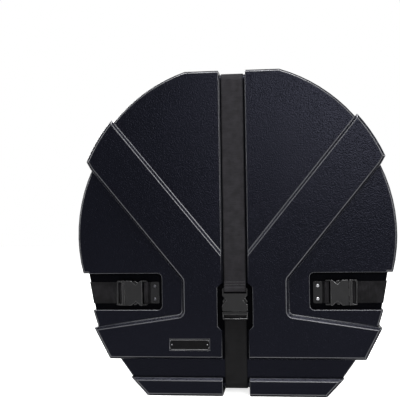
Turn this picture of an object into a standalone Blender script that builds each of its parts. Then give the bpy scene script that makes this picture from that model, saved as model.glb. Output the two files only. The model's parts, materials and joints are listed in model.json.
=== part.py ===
"""Bass drum hard case: a moulded lid and base that meet on an upright seam.

Three straps with side release buckles hold the lid on. Metres, +Z up. The case
stands on its two feet, its origin is on the floor under its middle, and the lid
faces -Y.
"""

import math

import bmesh
import bpy
from mathutils import Matrix, Vector

# Overall size of the closed case
HALF_WIDTH = 0.365
HEIGHT = 0.743
DEPTH = 0.560
LID_DEPTH = 0.110

# Walls and fits
WALL = 0.004
CLEARANCE = 0.0003
WELD = 0.00001
OVERRUN = 0.030
ARC_STEPS = 10
BEND_STEPS = 4
ROUND_STEPS = 12
DOME_STEPS = 6
FLAT_ANGLE = math.radians(0.05)
SMOOTH_ANGLE = math.radians(35)

# How far each moulded level lies behind the raised one, and its front chamfer
TOP_PANEL_DROP = 0.006
SIDE_PANEL_DROP = 0.010
GROOVE_DROP = 0.014
EDGE_CHAMFER = 0.006
PANEL_CHAMFER = 0.004
CHAMFER_LOSS_SHARE = 2 - math.sqrt(2)
LEAST_CHAMFER = 0.0005

# Points of the moulded outlines: shares of the half width and of the height
SHOULDER_SHARES = (0.296, 1.0)
TOP_PANEL_END_SHARES = (0.8307, 0.7985)
TOP_PANEL_APEX_SHARE = 0.2964
TOP_PANEL_BULGE_SHARE = 0.0878
BAND_APEX_SHARE = 0.3925
BAND_TOP_SHARES = (0.7671, 0.8560)
BAND_TIP_SHARES = (0.9342, 0.7268)
BAND_BULGE_SHARE = 0.038
BAND_NOTCH_SHARES = (0.9068, 0.7026)
BAND_ELBOW_SHARES = (0.3342, 0.3567)
RAISED_TIP_SHARES = (0.9014, 0.2100)
RAISED_FOOT_SHARES = (0.8000, 0.1131)
SIDE_TOP_SHARES = (0.8712, 0.7335)
SIDE_BULGE_SHARE = 0.0957
SIDE_LOW_SHARE = 0.9712
SIDE_FLOOR_TOP_SHARE = 0.9425
SIDE_FLOOR_FOOT_SHARE = 0.9014
SIDE_LIP_SHARE = 0.9110
SIDE_NOTCH_SHARES = (0.8849, 0.2207)
SIDE_TUCK_SHARES = ((0.8658, 0.1965), (0.8219, 0.1480))
GROOVE_SHARES = ((0.8326, 0.1750), (0.6584, 0.0552), (0.5479, 0.0108))
FOOT_TOP_SHARES = (0.6658, 0.0565)
FOOT_CORNER_SHARE = 0.5589
ELBOW_RADIUS = 0.010
SILL_HEIGHT = 0.010

# Channel that the middle strap runs in, all round the case
CHANNEL_HALF = 0.0304
CHANNEL_DEPTH = 0.012
CHANNEL_TOP_DEPTH = 0.008
CHANNEL_FOOT_DEPTH = 0.0166
CHANNEL_BEND = 0.013

# Tongue on the base that the lid slips over, and the foam inside
RIM_LENGTH = 0.015
TONGUE_LENGTH = 0.018
TONGUE_CLEARANCE = 0.001
TONGUE_WALL = 0.003
FOAM = 0.008
PAD = 0.010

# Webbing and its buckles: along the pull, across it, and up from the floor it lies on
WEBBING = 0.0016
WEBBING_WIDTH = 0.050
BUCKLE_WIDTH = 0.057
BUCKLE_THICKNESS = 0.0145
BUCKLE_SKIN = 0.003
BUCKLE_RAIL = 0.0027
SOCKET_SIDE = 0.004
SOCKET_BODY = 0.040
SOCKET_CAVITY = 0.036
SOCKET_SLOT = 0.0075
SOCKET_RAIL_SET = 0.002
END_BAR = 0.004
END_BAR_HEIGHT = 0.005
WINDOW_CENTRE = 0.025
WINDOW_HALF = 0.011
WINDOW_DEPTH = 0.010
MOUTH_GAP = 0.002
PLUG_INNER_RUNG = 0.0062
PLUG_MIDDLE_RUNG = 0.0023
PLUG_OUTER_RUNG = 0.003
PLUG_SLOT = 0.003
PLUG_BACK = 0.003
PLUG_FRONT = 0.012
MIDDLE_RUNG_FRONT = 0.006
TONGUE_HALF = 0.007
GUIDE_LENGTH = 0.030
GUIDE_THICKNESS = 0.006
PRONG_OFFSET = 0.0195
PRONG_HALF = 0.002
PRONG_ROOT_HALF = 0.001
PRONG_ROOT_TAPER = 0.0012
PRONG_CATCH = 0.0212
PRONG_CREST = 0.0252
PRONG_TIP = 0.0327
PRONG_REACH = 0.008
PRONG_CATCH_REACH = 0.0078
PLUG_TAIL = 0.0065
BAR_TURN = 0.0008
TAIL_SLOPE = 0.003
UPPER_TAIL = 0.013
SIDE_TAIL = 0.0015

# Where the buckles sit, and the moulded pockets round them
MIDDLE_MOUTH_SHARE = 0.2618
POCKET_HALF = 0.040
POCKET_DEPTH = 0.026
POCKET_TOP_MARGIN = 0.011
POCKET_FOOT_MARGIN = 0.025
POCKET_CORNER = 0.009
SIDE_MOUTH_SHARE = 0.700
RECESS_CENTRE_SHARE = 0.3203
RECESS_MARGIN = 0.0135
RECESS_RADIUS = 0.010
RECESS_END_MARGIN = 0.008
SIDE_BUCKLE_DROP = 0.0035

# Anchor plates and rivets
PLATE_LENGTH = 0.020
PLATE_WIDTH = 0.050
PLATE = 0.0015
PLATE_SETBACK = 0.017
RIVET_SPACING = 0.030
RIVET_RADIUS = 0.002
RIVET_HEAD = 0.0042
RIVET_HEAD_HEIGHT = 0.002
REAR_TAIL = 0.065
REAR_PLATE_SETBACK = 0.045
STRAP_PLATE_SETBACK = 0.070

# Carrying handle on top of the base
PIVOT_HEIGHT = 0.013
PIVOT_SETBACK = 0.150
BAIL_RADIUS = 0.004
BAIL_HALF = 0.062
BAIL_REACH = 0.050
BAIL_BEND = 0.012
GRIP_RADIUS = 0.011
GRIP_HALF = 0.046
LUG_GAP = 0.002
LUG_LENGTH = 0.014
LUG_HALF = 0.0085
LUG_TOP = 0.008
FOOT_PLATE = 0.004
FOOT_PLATE_HALF = 0.029
FOOT_PLATE_MARGIN = 0.006
SCREW_SPACING = 0.040
SCREW_RADIUS = 0.0022
SCREW_HEAD = 0.0045
SCREW_HEAD_HEIGHT = 0.003

# Bare nameplate, sunk in the lid
BADGE_CENTRE_SHARES = (-0.2877, 0.1588)
BADGE_HALF_LENGTH = 0.045
BADGE_HALF_HEIGHT = 0.0125
BADGE = 0.0015
BADGE_SINK = 0.002
BADGE_PIN = 0.0012
BADGE_PIN_MARGIN = 0.004

# Places worked out from the sizes above
SEAM = LID_DEPTH - DEPTH / 2
FRONT = -DEPTH / 2
LOW_WEB = CLEARANCE + WEBBING / 2
BAR_WEB = END_BAR_HEIGHT + END_BAR + LOW_WEB
SOCKET_LENGTH = SOCKET_BODY + SOCKET_SLOT + END_BAR
PLUG_LENGTH = MOUTH_GAP + PLUG_INNER_RUNG + PLUG_MIDDLE_RUNG + PLUG_OUTER_RUNG + 2 * PLUG_SLOT
MIDDLE_MOUTH = MIDDLE_MOUTH_SHARE * HEIGHT
SIDE_MOUTH = SIDE_MOUTH_SHARE * HALF_WIDTH
RECESS_HALF = BUCKLE_WIDTH / 2 + RECESS_MARGIN
RECESS_TOP = RECESS_CENTRE_SHARE * HEIGHT + RECESS_HALF
RECESS_FOOT = RECESS_CENTRE_SHARE * HEIGHT - RECESS_HALF
SIDE_STRAP_HEIGHT = RECESS_CENTRE_SHARE * HEIGHT - SIDE_BUCKLE_DROP
POCKET_FLOOR = FRONT + POCKET_DEPTH
ANCHOR_ALONG = SOCKET_LENGTH + PLATE_SETBACK
CHANNEL_FLOOR = DEPTH / 2 - CHANNEL_DEPTH
CHANNEL_CEILING = HEIGHT - CHANNEL_TOP_DEPTH
SIDE_FLOOR_TOP = SIDE_FLOOR_TOP_SHARE * HALF_WIDTH
SIDE_FLOOR_FOOT = SIDE_FLOOR_FOOT_SHARE * HALF_WIDTH
SIDE_LEAN_SHARE = (SIDE_FLOOR_TOP - SIDE_FLOOR_FOOT) / (RECESS_TOP - RECESS_FOOT)
SIDE_LEAN = math.atan(SIDE_LEAN_SHARE)
SIDE_FLOOR = SIDE_FLOOR_FOOT + SIDE_LEAN_SHARE * (SIDE_STRAP_HEIGHT - RECESS_FOOT)
RIVET_HOLE = RIVET_RADIUS + CLEARANCE
SCREW_HOLE = SCREW_RADIUS + CLEARANCE
HANDLE_Y = SEAM + PIVOT_SETBACK
HANDLE_Z = HEIGHT + PIVOT_HEIGHT
LUG_START = BAIL_HALF + BAIL_RADIUS + LUG_GAP
LUG_MIDDLE = LUG_START + LUG_LENGTH / 2


def frame(first, second, third, origin):
    """A placement whose own X, Y and Z run along the three given directions."""
    turn = Matrix((first, second, third)).transposed().to_4x4()
    return Matrix.Translation(origin) @ turn


# An outline drawn as seen from the front, and one drawn as seen from the right
FACE = frame((1, 0, 0), (0, 0, 1), (0, -1, 0), (0, 0, 0))
PROFILE = frame((0, 1, 0), (0, 0, 1), (1, 0, 0), (0, 0, 0))
PLAN = Matrix.Identity(4)

parts = bpy.data.collections.new("bass_drum_hard_case")
tools = bpy.data.collections.new("cutters")


def start():
    """Clear the scene and add the two collections."""
    for item in list(bpy.data.objects):
        bpy.data.objects.remove(item, do_unlink=True)
    for group in (parts, tools):
        bpy.context.scene.collection.children.link(group)


def material(name, colour, roughness, metallic=0.0):
    """A Principled material with the sub-part's plain colour."""
    finish = bpy.data.materials.new(name)
    finish.use_nodes = True
    shader = finish.node_tree.nodes["Principled BSDF"]
    shader.inputs["Base Color"].default_value = (*colour, 1.0)
    shader.inputs["Roughness"].default_value = roughness
    shader.inputs["Metallic"].default_value = metallic
    return finish


def finish_part(piece, name, colour, roughness, metallic=0.0, smooth=False):
    """Name a finished piece, give it its own material and file it with the parts."""
    piece.name = name
    piece.data.name = name
    piece.data.materials.clear()
    piece.data.materials.append(material(name, colour, roughness, metallic))
    if smooth:
        piece.data.shade_smooth()
        piece.data.set_sharp_from_angle(angle=SMOOTH_ANGLE)
    tools.objects.unlink(piece)
    parts.objects.link(piece)
    piece.hide_render = False
    piece.display_type = "TEXTURED"
    return piece


def moulded(piece, name):
    return finish_part(piece, name, (0.012, 0.013, 0.017), 0.42)


def foam(piece, name):
    return finish_part(piece, name, (0.80, 0.0, 0.0), 0.95)


def strap(piece, name):
    return finish_part(piece, name, (0.022, 0.022, 0.023), 0.85)


def plastic(piece, name):
    return finish_part(piece, name, (0.016, 0.016, 0.017), 0.33, smooth=True)


def steel(piece, name):
    return finish_part(piece, name, (0.62, 0.62, 0.63), 0.28, 1.0, smooth=True)


def blackened(piece, name):
    return finish_part(piece, name, (0.03, 0.03, 0.032), 0.45, 0.6)


# Shaping helpers
def held(mesh, name="tool"):
    """Put a mesh in the scene as a hidden cutter."""
    piece = bpy.data.objects.new(name, mesh)
    piece.hide_render = True
    piece.display_type = "WIRE"
    tools.objects.link(piece)
    return piece


def cleaned(mesh, placement=PLAN):
    """Weld a mesh, join its flat neighbours and turn its faces outward."""
    shape = bmesh.new()
    shape.from_mesh(mesh)
    bmesh.ops.remove_doubles(shape, verts=shape.verts, dist=WELD)
    bmesh.ops.dissolve_degenerate(shape, edges=shape.edges, dist=WELD)
    bmesh.ops.dissolve_limit(shape, angle_limit=FLAT_ANGLE, verts=shape.verts, edges=shape.edges)
    bmesh.ops.transform(shape, matrix=placement, verts=shape.verts)
    bmesh.ops.recalc_face_normals(shape, faces=shape.faces)
    shape.to_mesh(mesh)
    shape.free()
    return mesh


def evaluated(piece):
    """The mesh of an object with its modifiers, or of a curve."""
    graph = bpy.context.evaluated_depsgraph_get()
    return bpy.data.meshes.new_from_object(piece.evaluated_get(graph))


def discard(piece):
    bpy.data.objects.remove(piece, do_unlink=True)


def boolean(target, tool, operation):
    """Join, cut or keep what is common, then drop the tool."""
    step = target.modifiers.new("boolean", "BOOLEAN")
    step.operation = operation
    step.solver = "EXACT"
    step.object = tool
    target.data = cleaned(evaluated(target))
    target.modifiers.clear()
    discard(tool)
    return target


def join(target, *tool_list):
    for tool in tool_list:
        boolean(target, tool, "UNION")
    return target


def cut(target, *tool_list):
    for tool in tool_list:
        boolean(target, tool, "DIFFERENCE")
    return target


def common(target, tool):
    return boolean(target, tool, "INTERSECT")


def curve_piece(points, closed, half_thickness, placement, radius=0):
    """A flat curve through the points: a filled outline, a ribbon or a tube."""
    curve = bpy.data.curves.new("curve", "CURVE")
    spline = curve.splines.new("POLY")
    spline.points.add(len(points) - 1)
    for knot, point in zip(spline.points, points):
        knot.co = (point[0], point[1], 0, 1)
    spline.use_cyclic_u = closed
    curve.dimensions = "3D" if radius else "2D"
    curve.resolution_u = 1
    curve.fill_mode = "FULL" if radius else ("BOTH" if closed else "NONE")
    curve.extrude = half_thickness
    curve.bevel_depth = radius
    curve.bevel_resolution = 2
    curve.use_fill_caps = bool(radius)
    drawn = bpy.data.objects.new("curve", curve)
    tools.objects.link(drawn)
    mesh = evaluated(drawn)
    discard(drawn)
    return held(cleaned(mesh, placement))


def prism(outline, low, high, placement):
    """A flat outline given a thickness from low to high along its own third axis."""
    middle = Matrix.Translation((0, 0, (low + high) / 2))
    return curve_piece(outline, True, (high - low) / 2, placement @ middle)


def box(low, high, placement=PLAN):
    """A box between two corners."""
    size = Vector(high) - Vector(low)
    centre = (Vector(high) + Vector(low)) / 2
    shape = bmesh.new()
    bmesh.ops.create_cube(shape, size=1)
    scale = Matrix.Diagonal((*size, 1))
    bmesh.ops.transform(shape, matrix=placement @ Matrix.Translation(centre) @ scale, verts=shape.verts)
    mesh = bpy.data.meshes.new("box")
    shape.to_mesh(mesh)
    shape.free()
    return held(mesh)


def peg(radius, low, high, placement, steps=ROUND_STEPS):
    """A round peg along the placement's third axis, from low to high."""
    shape = bmesh.new()
    bmesh.ops.create_cone(
        shape, cap_ends=True, segments=steps, radius1=radius, radius2=radius, depth=high - low
    )
    move = Matrix.Translation((0, 0, (low + high) / 2))
    bmesh.ops.transform(shape, matrix=placement @ move, verts=shape.verts)
    mesh = bpy.data.meshes.new("peg")
    shape.to_mesh(mesh)
    shape.free()
    return held(mesh)


def ribbon(path, placement, lean=None):
    """Webbing that follows a flat path: a strip with Solidify. Lean moves its points first."""
    piece = curve_piece(path, False, WEBBING_WIDTH / 2, placement)
    if lean:
        for vertex in piece.data.vertices:
            vertex.co.x += lean(vertex.co)
    wall = piece.modifiers.new("thickness", "SOLIDIFY")
    wall.thickness = WEBBING
    wall.offset = 0
    wall.use_even_offset = True
    piece.data = cleaned(evaluated(piece))
    piece.modifiers.clear()
    return piece


def chamfered(piece, size):
    """Cut the edges round both flat ends of a prism that runs along Y."""
    shape = bmesh.new()
    shape.from_mesh(piece.data)
    ends = max(vertex.co.y for vertex in shape.verts) - WELD
    rims = [e for e in shape.edges if min(abs(v.co.y) for v in e.verts) > ends
            and e.verts[0].co.y * e.verts[1].co.y > 0]
    bmesh.ops.bevel(shape, geom=rims, offset=size, offset_type="OFFSET", segments=1,
                    profile=0.5, affect="EDGES", clamp_overlap=False)
    shape.to_mesh(piece.data)
    shape.free()
    return piece


# Outlines
def place(shares):
    """A point given as shares of the half width and of the height."""
    return Vector((shares[0] * HALF_WIDTH, shares[1] * HEIGHT))


def arc(first, last, bulge_share, steps=ARC_STEPS):
    """Points of an arc that swells to the left of the way from first to last."""
    chord = last - first
    half = chord.length / 2
    rise = bulge_share * chord.length
    radius = (half * half + rise * rise) / (2 * rise)
    across = Vector((-chord.y, chord.x)).normalized()
    centre = (first + last) / 2 - across * (radius - rise)
    sweep = 2 * math.asin(half / radius)
    points = []
    for step in range(steps + 1):
        turn = Matrix.Rotation(-sweep * step / steps, 2)
        points.append(centre + turn @ (first - centre))
    return points


def rounded_corner(before, corner, after, radius, steps=BEND_STEPS):
    """Points of the arc that rounds one corner."""
    inward = (before - corner).normalized()
    onward = (after - corner).normalized()
    half_angle = inward.angle(onward) / 2
    bisector = (inward + onward).normalized()
    centre = corner + bisector * radius / math.sin(half_angle)
    first = corner + inward * radius / math.tan(half_angle) - centre
    last = corner + onward * radius / math.tan(half_angle) - centre
    sweep = first.angle_signed(last)
    points = []
    for step in range(steps + 1):
        turn = Matrix.Rotation(-sweep * step / steps, 2)
        points.append(centre + turn @ first)
    return points


def inset(outline, distance):
    """Move every side of a clockwise outline inward by the same distance."""
    moved = []
    for index, corner in enumerate(outline):
        before = (corner - outline[index - 1]).normalized()
        after = (outline[(index + 1) % len(outline)] - corner).normalized()
        first = Vector((before.y, -before.x))
        second = Vector((after.y, -after.x))
        moved.append(corner + (first + second) * distance / (1 + first.dot(second)))
    return moved


def mirrored(right_half):
    """Close a right half outline, drawn from top to bottom, with its mirror image."""
    left = [Vector((-point.x, point.y)) for point in reversed(right_half) if abs(point.x) > WELD]
    return list(right_half) + left


def top_panels():
    """The two panels at the top, which run on under the slanted bands."""
    swell = arc(place(SHOULDER_SHARES), place(TOP_PANEL_END_SHARES), TOP_PANEL_BULGE_SHARE)
    return mirrored(swell + [place((0, TOP_PANEL_APEX_SHARE))])


def raised_face():
    """The slanted bands, the middle and the lower face, the level that stands proudest."""
    notch = place(BAND_NOTCH_SHARES)
    elbow = place(BAND_ELBOW_SHARES)
    sill = Vector((elbow.x, RECESS_FOOT - SILL_HEIGHT))
    tip = place(RAISED_TIP_SHARES)
    foot = place(RAISED_FOOT_SHARES)
    half = [place((0, BAND_APEX_SHARE))]
    half += arc(place(BAND_TOP_SHARES), place(BAND_TIP_SHARES), BAND_BULGE_SHARE, ARC_STEPS // 2)
    half += [notch]
    half += rounded_corner(notch, elbow, sill, ELBOW_RADIUS, BEND_STEPS // 2)
    half += rounded_corner(elbow, sill, tip, ELBOW_RADIUS)
    half += [tip, foot]
    return mirrored(half)


def side_panels():
    """The side panels, down to the flat that the side straps lie on and its lip."""
    low = Vector((SIDE_LOW_SHARE * HALF_WIDTH, RECESS_TOP))
    half = arc(place(SIDE_TOP_SHARES), low, SIDE_BULGE_SHARE)
    half += [Vector((SIDE_FLOOR_TOP, RECESS_TOP)), Vector((SIDE_FLOOR_FOOT, RECESS_FOOT))]
    half += [Vector((SIDE_LIP_SHARE * HALF_WIDTH, RECESS_FOOT)), place(SIDE_NOTCH_SHARES)]
    half += [place(shares) for shares in SIDE_TUCK_SHARES]
    return mirrored(half)


def groove_band():
    """The sunk band above the feet."""
    return mirrored([place(shares) for shares in GROOVE_SHARES])


def foot_block():
    """The block that the case stands on."""
    return mirrored([place(FOOT_TOP_SHARES), place((FOOT_CORNER_SHARE, 0))])


def channel_floor():
    """The line that the middle strap's channel follows round the case, seen from the right."""
    corners = [
        Vector((-CHANNEL_FLOOR, CHANNEL_CEILING)),
        Vector((CHANNEL_FLOOR, CHANNEL_CEILING)),
        Vector((CHANNEL_FLOOR, CHANNEL_FOOT_DEPTH)),
        Vector((-CHANNEL_FLOOR, CHANNEL_FOOT_DEPTH)),
    ]
    outline = []
    for index, corner in enumerate(corners):
        outline += rounded_corner(corners[index - 1], corner, corners[(index + 1) % 4], CHANNEL_BEND)
    return outline


def case_body(margin):
    """The closed case as one solid, with every wall moved in by the margin."""
    levels = (
        (raised_face(), 0, EDGE_CHAMFER),
        (top_panels(), TOP_PANEL_DROP, PANEL_CHAMFER),
        (side_panels(), SIDE_PANEL_DROP, PANEL_CHAMFER),
        (groove_band(), GROOVE_DROP, PANEL_CHAMFER),
        (foot_block(), 0, EDGE_CHAMFER),
    )
    blocks = []
    for outline, drop, chamfer in levels:
        half = DEPTH / 2 - drop - margin
        block = prism(inset(outline, margin), -half, half, FACE)
        chamfer -= CHAMFER_LOSS_SHARE * margin
        if chamfer > LEAST_CHAMFER:
            chamfered(block, chamfer)
        blocks.append(block)
    body = join(*blocks)
    half = CHANNEL_HALF + margin
    slab = box((-half, -DEPTH, -OVERRUN), (half, DEPTH, HEIGHT + OVERRUN))
    core = prism(inset(channel_floor(), margin), -half - OVERRUN, half + OVERRUN, PROFILE)
    return cut(body, cut(slab, core))


def between(body, start_y, end_y):
    """The slice of a body between two upright planes."""
    slab = box((-HALF_WIDTH - OVERRUN, start_y, -OVERRUN), (HALF_WIDTH + OVERRUN, end_y, HEIGHT + OVERRUN))
    return common(body, slab)


# Places of the hardware
def middle_place():
    """The middle buckle: its pull runs up, and it stands on the level of the channel's floor."""
    return frame((0, 0, 1), (-1, 0, 0), (0, -1, 0), (0, -CHANNEL_FLOOR, MIDDLE_MOUTH))


def side_place(side):
    """A side buckle on its recess floor: pull runs in towards the middle."""
    origin = (side * SIDE_MOUTH, POCKET_FLOOR, SIDE_STRAP_HEIGHT)
    return frame((-side, 0, 0), (0, 0, -side), (0, -1, 0), origin)


def wall_place(side, y):
    """A place on the leaning side wall of the base: back, up along the wall, outward."""
    out = Vector((side * math.cos(SIDE_LEAN), 0, -math.sin(SIDE_LEAN)))
    up = Vector((side * math.sin(SIDE_LEAN), 0, math.cos(SIDE_LEAN)))
    origin = (side * SIDE_FLOOR, y, SIDE_STRAP_HEIGHT)
    return frame(Vector((0, side, 0)), up, out, origin)


def top_place(y):
    """A place on the strap in the channel on top: back is the first axis, up the third."""
    return frame((0, 1, 0), (-1, 0, 0), (0, 0, 1), (0, y, CHANNEL_CEILING))


def under_place(y):
    """A place on the strap in the channel underneath."""
    return frame((0, 1, 0), (1, 0, 0), (0, 0, -1), (0, y, CHANNEL_FOOT_DEPTH))


def anchor_place(side):
    """The lid's anchor plate, on the recess floor inward of the buckle."""
    return side_place(side) @ Matrix.Translation((ANCHOR_ALONG, 0, 0))


def rivet_places(plate_place):
    """The two rivets of a plate, one on each side of its middle."""
    return [plate_place @ Matrix.Translation((0, sign * RIVET_SPACING / 2, 0)) for sign in (1, -1)]


def rivet_holes(plate_place):
    """Cutters for the holes that a plate's rivets pass through."""
    return [peg(RIVET_HOLE, -WALL - OVERRUN, OVERRUN / 2, spot) for spot in rivet_places(plate_place)]


def bracket_place(side):
    """The foot of a handle bracket, on top of the base."""
    return Matrix.Translation((side * LUG_MIDDLE, HANDLE_Y, HEIGHT))


def screw_places(side):
    offsets = [Matrix.Translation((0, sign * SCREW_SPACING / 2, 0)) for sign in (-1, 1)]
    return [bracket_place(side) @ offset for offset in offsets]


# Shells and linings
def pocket_outline():
    """The pocket of the middle buckle: a box with its corners cut off."""
    top = MIDDLE_MOUTH + SOCKET_LENGTH + POCKET_TOP_MARGIN
    foot = MIDDLE_MOUTH - PLUG_LENGTH - POCKET_FOOT_MARGIN
    inner = POCKET_HALF - POCKET_CORNER
    return mirrored([
        Vector((inner, top)),
        Vector((POCKET_HALF, top - POCKET_CORNER)),
        Vector((POCKET_HALF, foot + POCKET_CORNER)),
        Vector((inner, foot)),
    ])


def recess_outline(side):
    """The recess of a side buckle, open at the side of the lid."""
    inner = SIDE_MOUTH - ANCHOR_ALONG - PLATE_LENGTH / 2 - RECESS_END_MARGIN
    outer = HALF_WIDTH + OVERRUN
    corners = [Vector((outer, RECESS_TOP)), Vector((outer, RECESS_FOOT)),
               Vector((inner, RECESS_FOOT)), Vector((inner, RECESS_TOP))]
    outline = corners[:2]
    outline += rounded_corner(corners[1], corners[2], corners[3], RECESS_RADIUS)
    outline += rounded_corner(corners[2], corners[3], corners[0], RECESS_RADIUS)
    if side > 0:
        return outline
    return [Vector((-point.x, point.y)) for point in reversed(outline)]


def pocket_tools(margin):
    """Cutters for the three buckle pockets, grown by the margin."""
    outlines = [pocket_outline(), recess_outline(1), recess_outline(-1)]
    depth = -POCKET_FLOOR - margin
    return [prism(inset(outline, -margin), depth, -FRONT + OVERRUN, FACE) for outline in outlines]


def badge_place():
    centre = place(BADGE_CENTRE_SHARES)
    return FACE @ Matrix.Translation((centre.x, centre.y, -FRONT - BADGE_SINK))


def lid_shell():
    """The lid: front face with its pockets, and walls back to the seam."""
    shell = between(case_body(0), FRONT - OVERRUN, SEAM - CLEARANCE)
    cut(shell, *pocket_tools(0))
    hollow = cut(case_body(WALL), *pocket_tools(WALL))
    cut(shell, hollow)
    grow = CLEARANCE
    sink = box(
        (-BADGE_HALF_LENGTH - grow, -BADGE_HALF_HEIGHT - grow, 0),
        (BADGE_HALF_LENGTH + grow, BADGE_HALF_HEIGHT + grow, OVERRUN),
        badge_place(),
    )
    cut(shell, sink)
    for side in (1, -1):
        cut(shell, *rivet_holes(anchor_place(side)))
    return moulded(shell, "lid_shell")


def base_shell():
    """The base: back face, walls up to the seam, and the tongue that the lid slips over."""
    shell = between(case_body(0), SEAM, DEPTH)
    tongue = between(case_body(WALL + TONGUE_CLEARANCE), SEAM - TONGUE_LENGTH, SEAM + RIM_LENGTH / 2)
    join(shell, tongue)
    bore = case_body(WALL + TONGUE_CLEARANCE + TONGUE_WALL)
    cut(shell, between(bore, -DEPTH, SEAM + RIM_LENGTH + WALL))
    cut(shell, between(case_body(WALL), SEAM + RIM_LENGTH, DEPTH))
    for side in (1, -1):
        cut(shell, *rivet_holes(wall_place(side, SEAM + REAR_PLATE_SETBACK)))
        for spot in screw_places(side):
            cut(shell, peg(SCREW_HOLE, -OVERRUN, OVERRUN, spot))
    cut(shell, *rivet_holes(top_place(SEAM + STRAP_PLATE_SETBACK)))
    cut(shell, *rivet_holes(under_place(SEAM + STRAP_PLATE_SETBACK)))
    return moulded(shell, "base_shell")


def linings():
    """Foam: a flat pad on each face and a ring round each wall."""
    outer = WALL + CLEARANCE
    inner = outer + FOAM
    lid_pad_start = POCKET_FLOOR + WALL + CLEARANCE
    lid_pad_end = lid_pad_start + PAD
    base_pad_end = DEPTH / 2 - GROOVE_DROP - WALL - CLEARANCE
    base_pad_start = base_pad_end - PAD
    foam(between(case_body(outer), lid_pad_start, lid_pad_end), "lid_face_pad")
    foam(between(case_body(outer), base_pad_start, base_pad_end), "base_back_pad")
    rings = (
        ("lid_wall_lining", lid_pad_end + CLEARANCE, SEAM - TONGUE_LENGTH - TONGUE_CLEARANCE),
        ("base_wall_lining", SEAM + RIM_LENGTH + CLEARANCE, base_pad_start - CLEARANCE),
    )
    for name, start_y, end_y in rings:
        ring = between(case_body(outer), start_y, end_y)
        foam(cut(ring, between(case_body(inner), start_y - OVERRUN, end_y + OVERRUN)), name)


# Buckles
def socket(name, placement):
    """The female half: a flat housing with two V windows, and a slotted end for its webbing."""
    half = BUCKLE_WIDTH / 2
    body = box((0, -half, CLEARANCE), (SOCKET_BODY, half, BUCKLE_THICKNESS))
    cavity_half = half - SOCKET_SIDE
    low, high = CLEARANCE + BUCKLE_SKIN, BUCKLE_THICKNESS - BUCKLE_SKIN
    cut(body, box((-OVERRUN, -cavity_half, low), (SOCKET_CAVITY, cavity_half, high)))
    tail_box = box(
        (SOCKET_BODY - BUCKLE_SKIN / 2, -half, SOCKET_RAIL_SET),
        (SOCKET_LENGTH, half, BUCKLE_THICKNESS - SOCKET_RAIL_SET),
    )
    join(body, tail_box)
    inside = half - BUCKLE_RAIL
    bar_start = SOCKET_BODY + SOCKET_SLOT
    cut(body, box((SOCKET_BODY, -inside, -OVERRUN), (bar_start, inside, OVERRUN)))
    over = END_BAR_HEIGHT + END_BAR
    cut(body, box((bar_start - CLEARANCE, -inside, over), (SOCKET_LENGTH + OVERRUN, inside, OVERRUN)))
    cut(body, box((bar_start - CLEARANCE, -inside, -OVERRUN),
                  (SOCKET_LENGTH + OVERRUN, inside, END_BAR_HEIGHT)))
    reach_share = (WINDOW_DEPTH + OVERRUN) / WINDOW_DEPTH
    for side in (1, -1):
        notch = [
            Vector((WINDOW_CENTRE, side * (half - WINDOW_DEPTH))),
            Vector((WINDOW_CENTRE - WINDOW_HALF * reach_share, side * (half + OVERRUN))),
            Vector((WINDOW_CENTRE + WINDOW_HALF * reach_share, side * (half + OVERRUN))),
        ]
        cut(body, prism(notch, -OVERRUN, OVERRUN, PLAN))
    body.matrix_world = placement
    return plastic(body, name)


def plug(name, placement):
    """The male half: a laddered frame for the webbing, and a guide between its prongs."""
    half = BUCKLE_WIDTH / 2
    inside = half - BUCKLE_RAIL
    body = box((-PLUG_LENGTH, -half, PLUG_BACK), (-MOUTH_GAP, half, PLUG_FRONT))
    inner_slot = -MOUTH_GAP - PLUG_INNER_RUNG
    middle_rung = inner_slot - PLUG_SLOT
    outer_slot = middle_rung - PLUG_MIDDLE_RUNG
    for end in (inner_slot, outer_slot):
        cut(body, box((end - PLUG_SLOT, -inside, -OVERRUN), (end, inside, OVERRUN)))
    cut(body, box((outer_slot - CLEARANCE, -inside, MIDDLE_RUNG_FRONT),
                  (middle_rung + CLEARANCE, inside, OVERRUN)))
    middle = (CLEARANCE + BUCKLE_THICKNESS) / 2
    join(body, box(
        (-MOUTH_GAP - PLUG_INNER_RUNG / 2, -TONGUE_HALF, middle - GUIDE_THICKNESS / 2),
        (GUIDE_LENGTH, TONGUE_HALF, middle + GUIDE_THICKNESS / 2),
    ))
    body.matrix_world = placement
    return plastic(body, name)


def prong(name, placement, side):
    """One sprung arm, drawn round its root, with the hook that shows in the socket's window."""
    outline = [
        Vector((0, PRONG_ROOT_HALF)),
        Vector((PRONG_ROOT_TAPER, PRONG_HALF)),
        Vector((PRONG_CATCH, PRONG_HALF)),
        Vector((PRONG_CATCH, PRONG_CATCH_REACH)),
        Vector((PRONG_CREST, PRONG_REACH)),
        Vector((PRONG_TIP, PRONG_HALF)),
        Vector((PRONG_TIP, -PRONG_HALF)),
        Vector((PRONG_ROOT_TAPER, -PRONG_HALF)),
        Vector((0, -PRONG_ROOT_HALF)),
    ]
    outline = [Vector((point.x, side * point.y)) for point in outline]
    arm = prism(outline, -GUIDE_THICKNESS / 2, GUIDE_THICKNESS / 2, PLAN)
    middle = (CLEARANCE + BUCKLE_THICKNESS) / 2
    root = Matrix.Translation((CLEARANCE - MOUTH_GAP, side * PRONG_OFFSET, middle))
    arm.matrix_world = placement @ root
    return plastic(arm, name)


def buckle(name, placement, prong_names):
    socket(name + "_socket", placement)
    plug(name + "_plug", placement)
    for side, prong_name in zip((1, -1), prong_names):
        prong(prong_name, placement, side)


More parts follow.
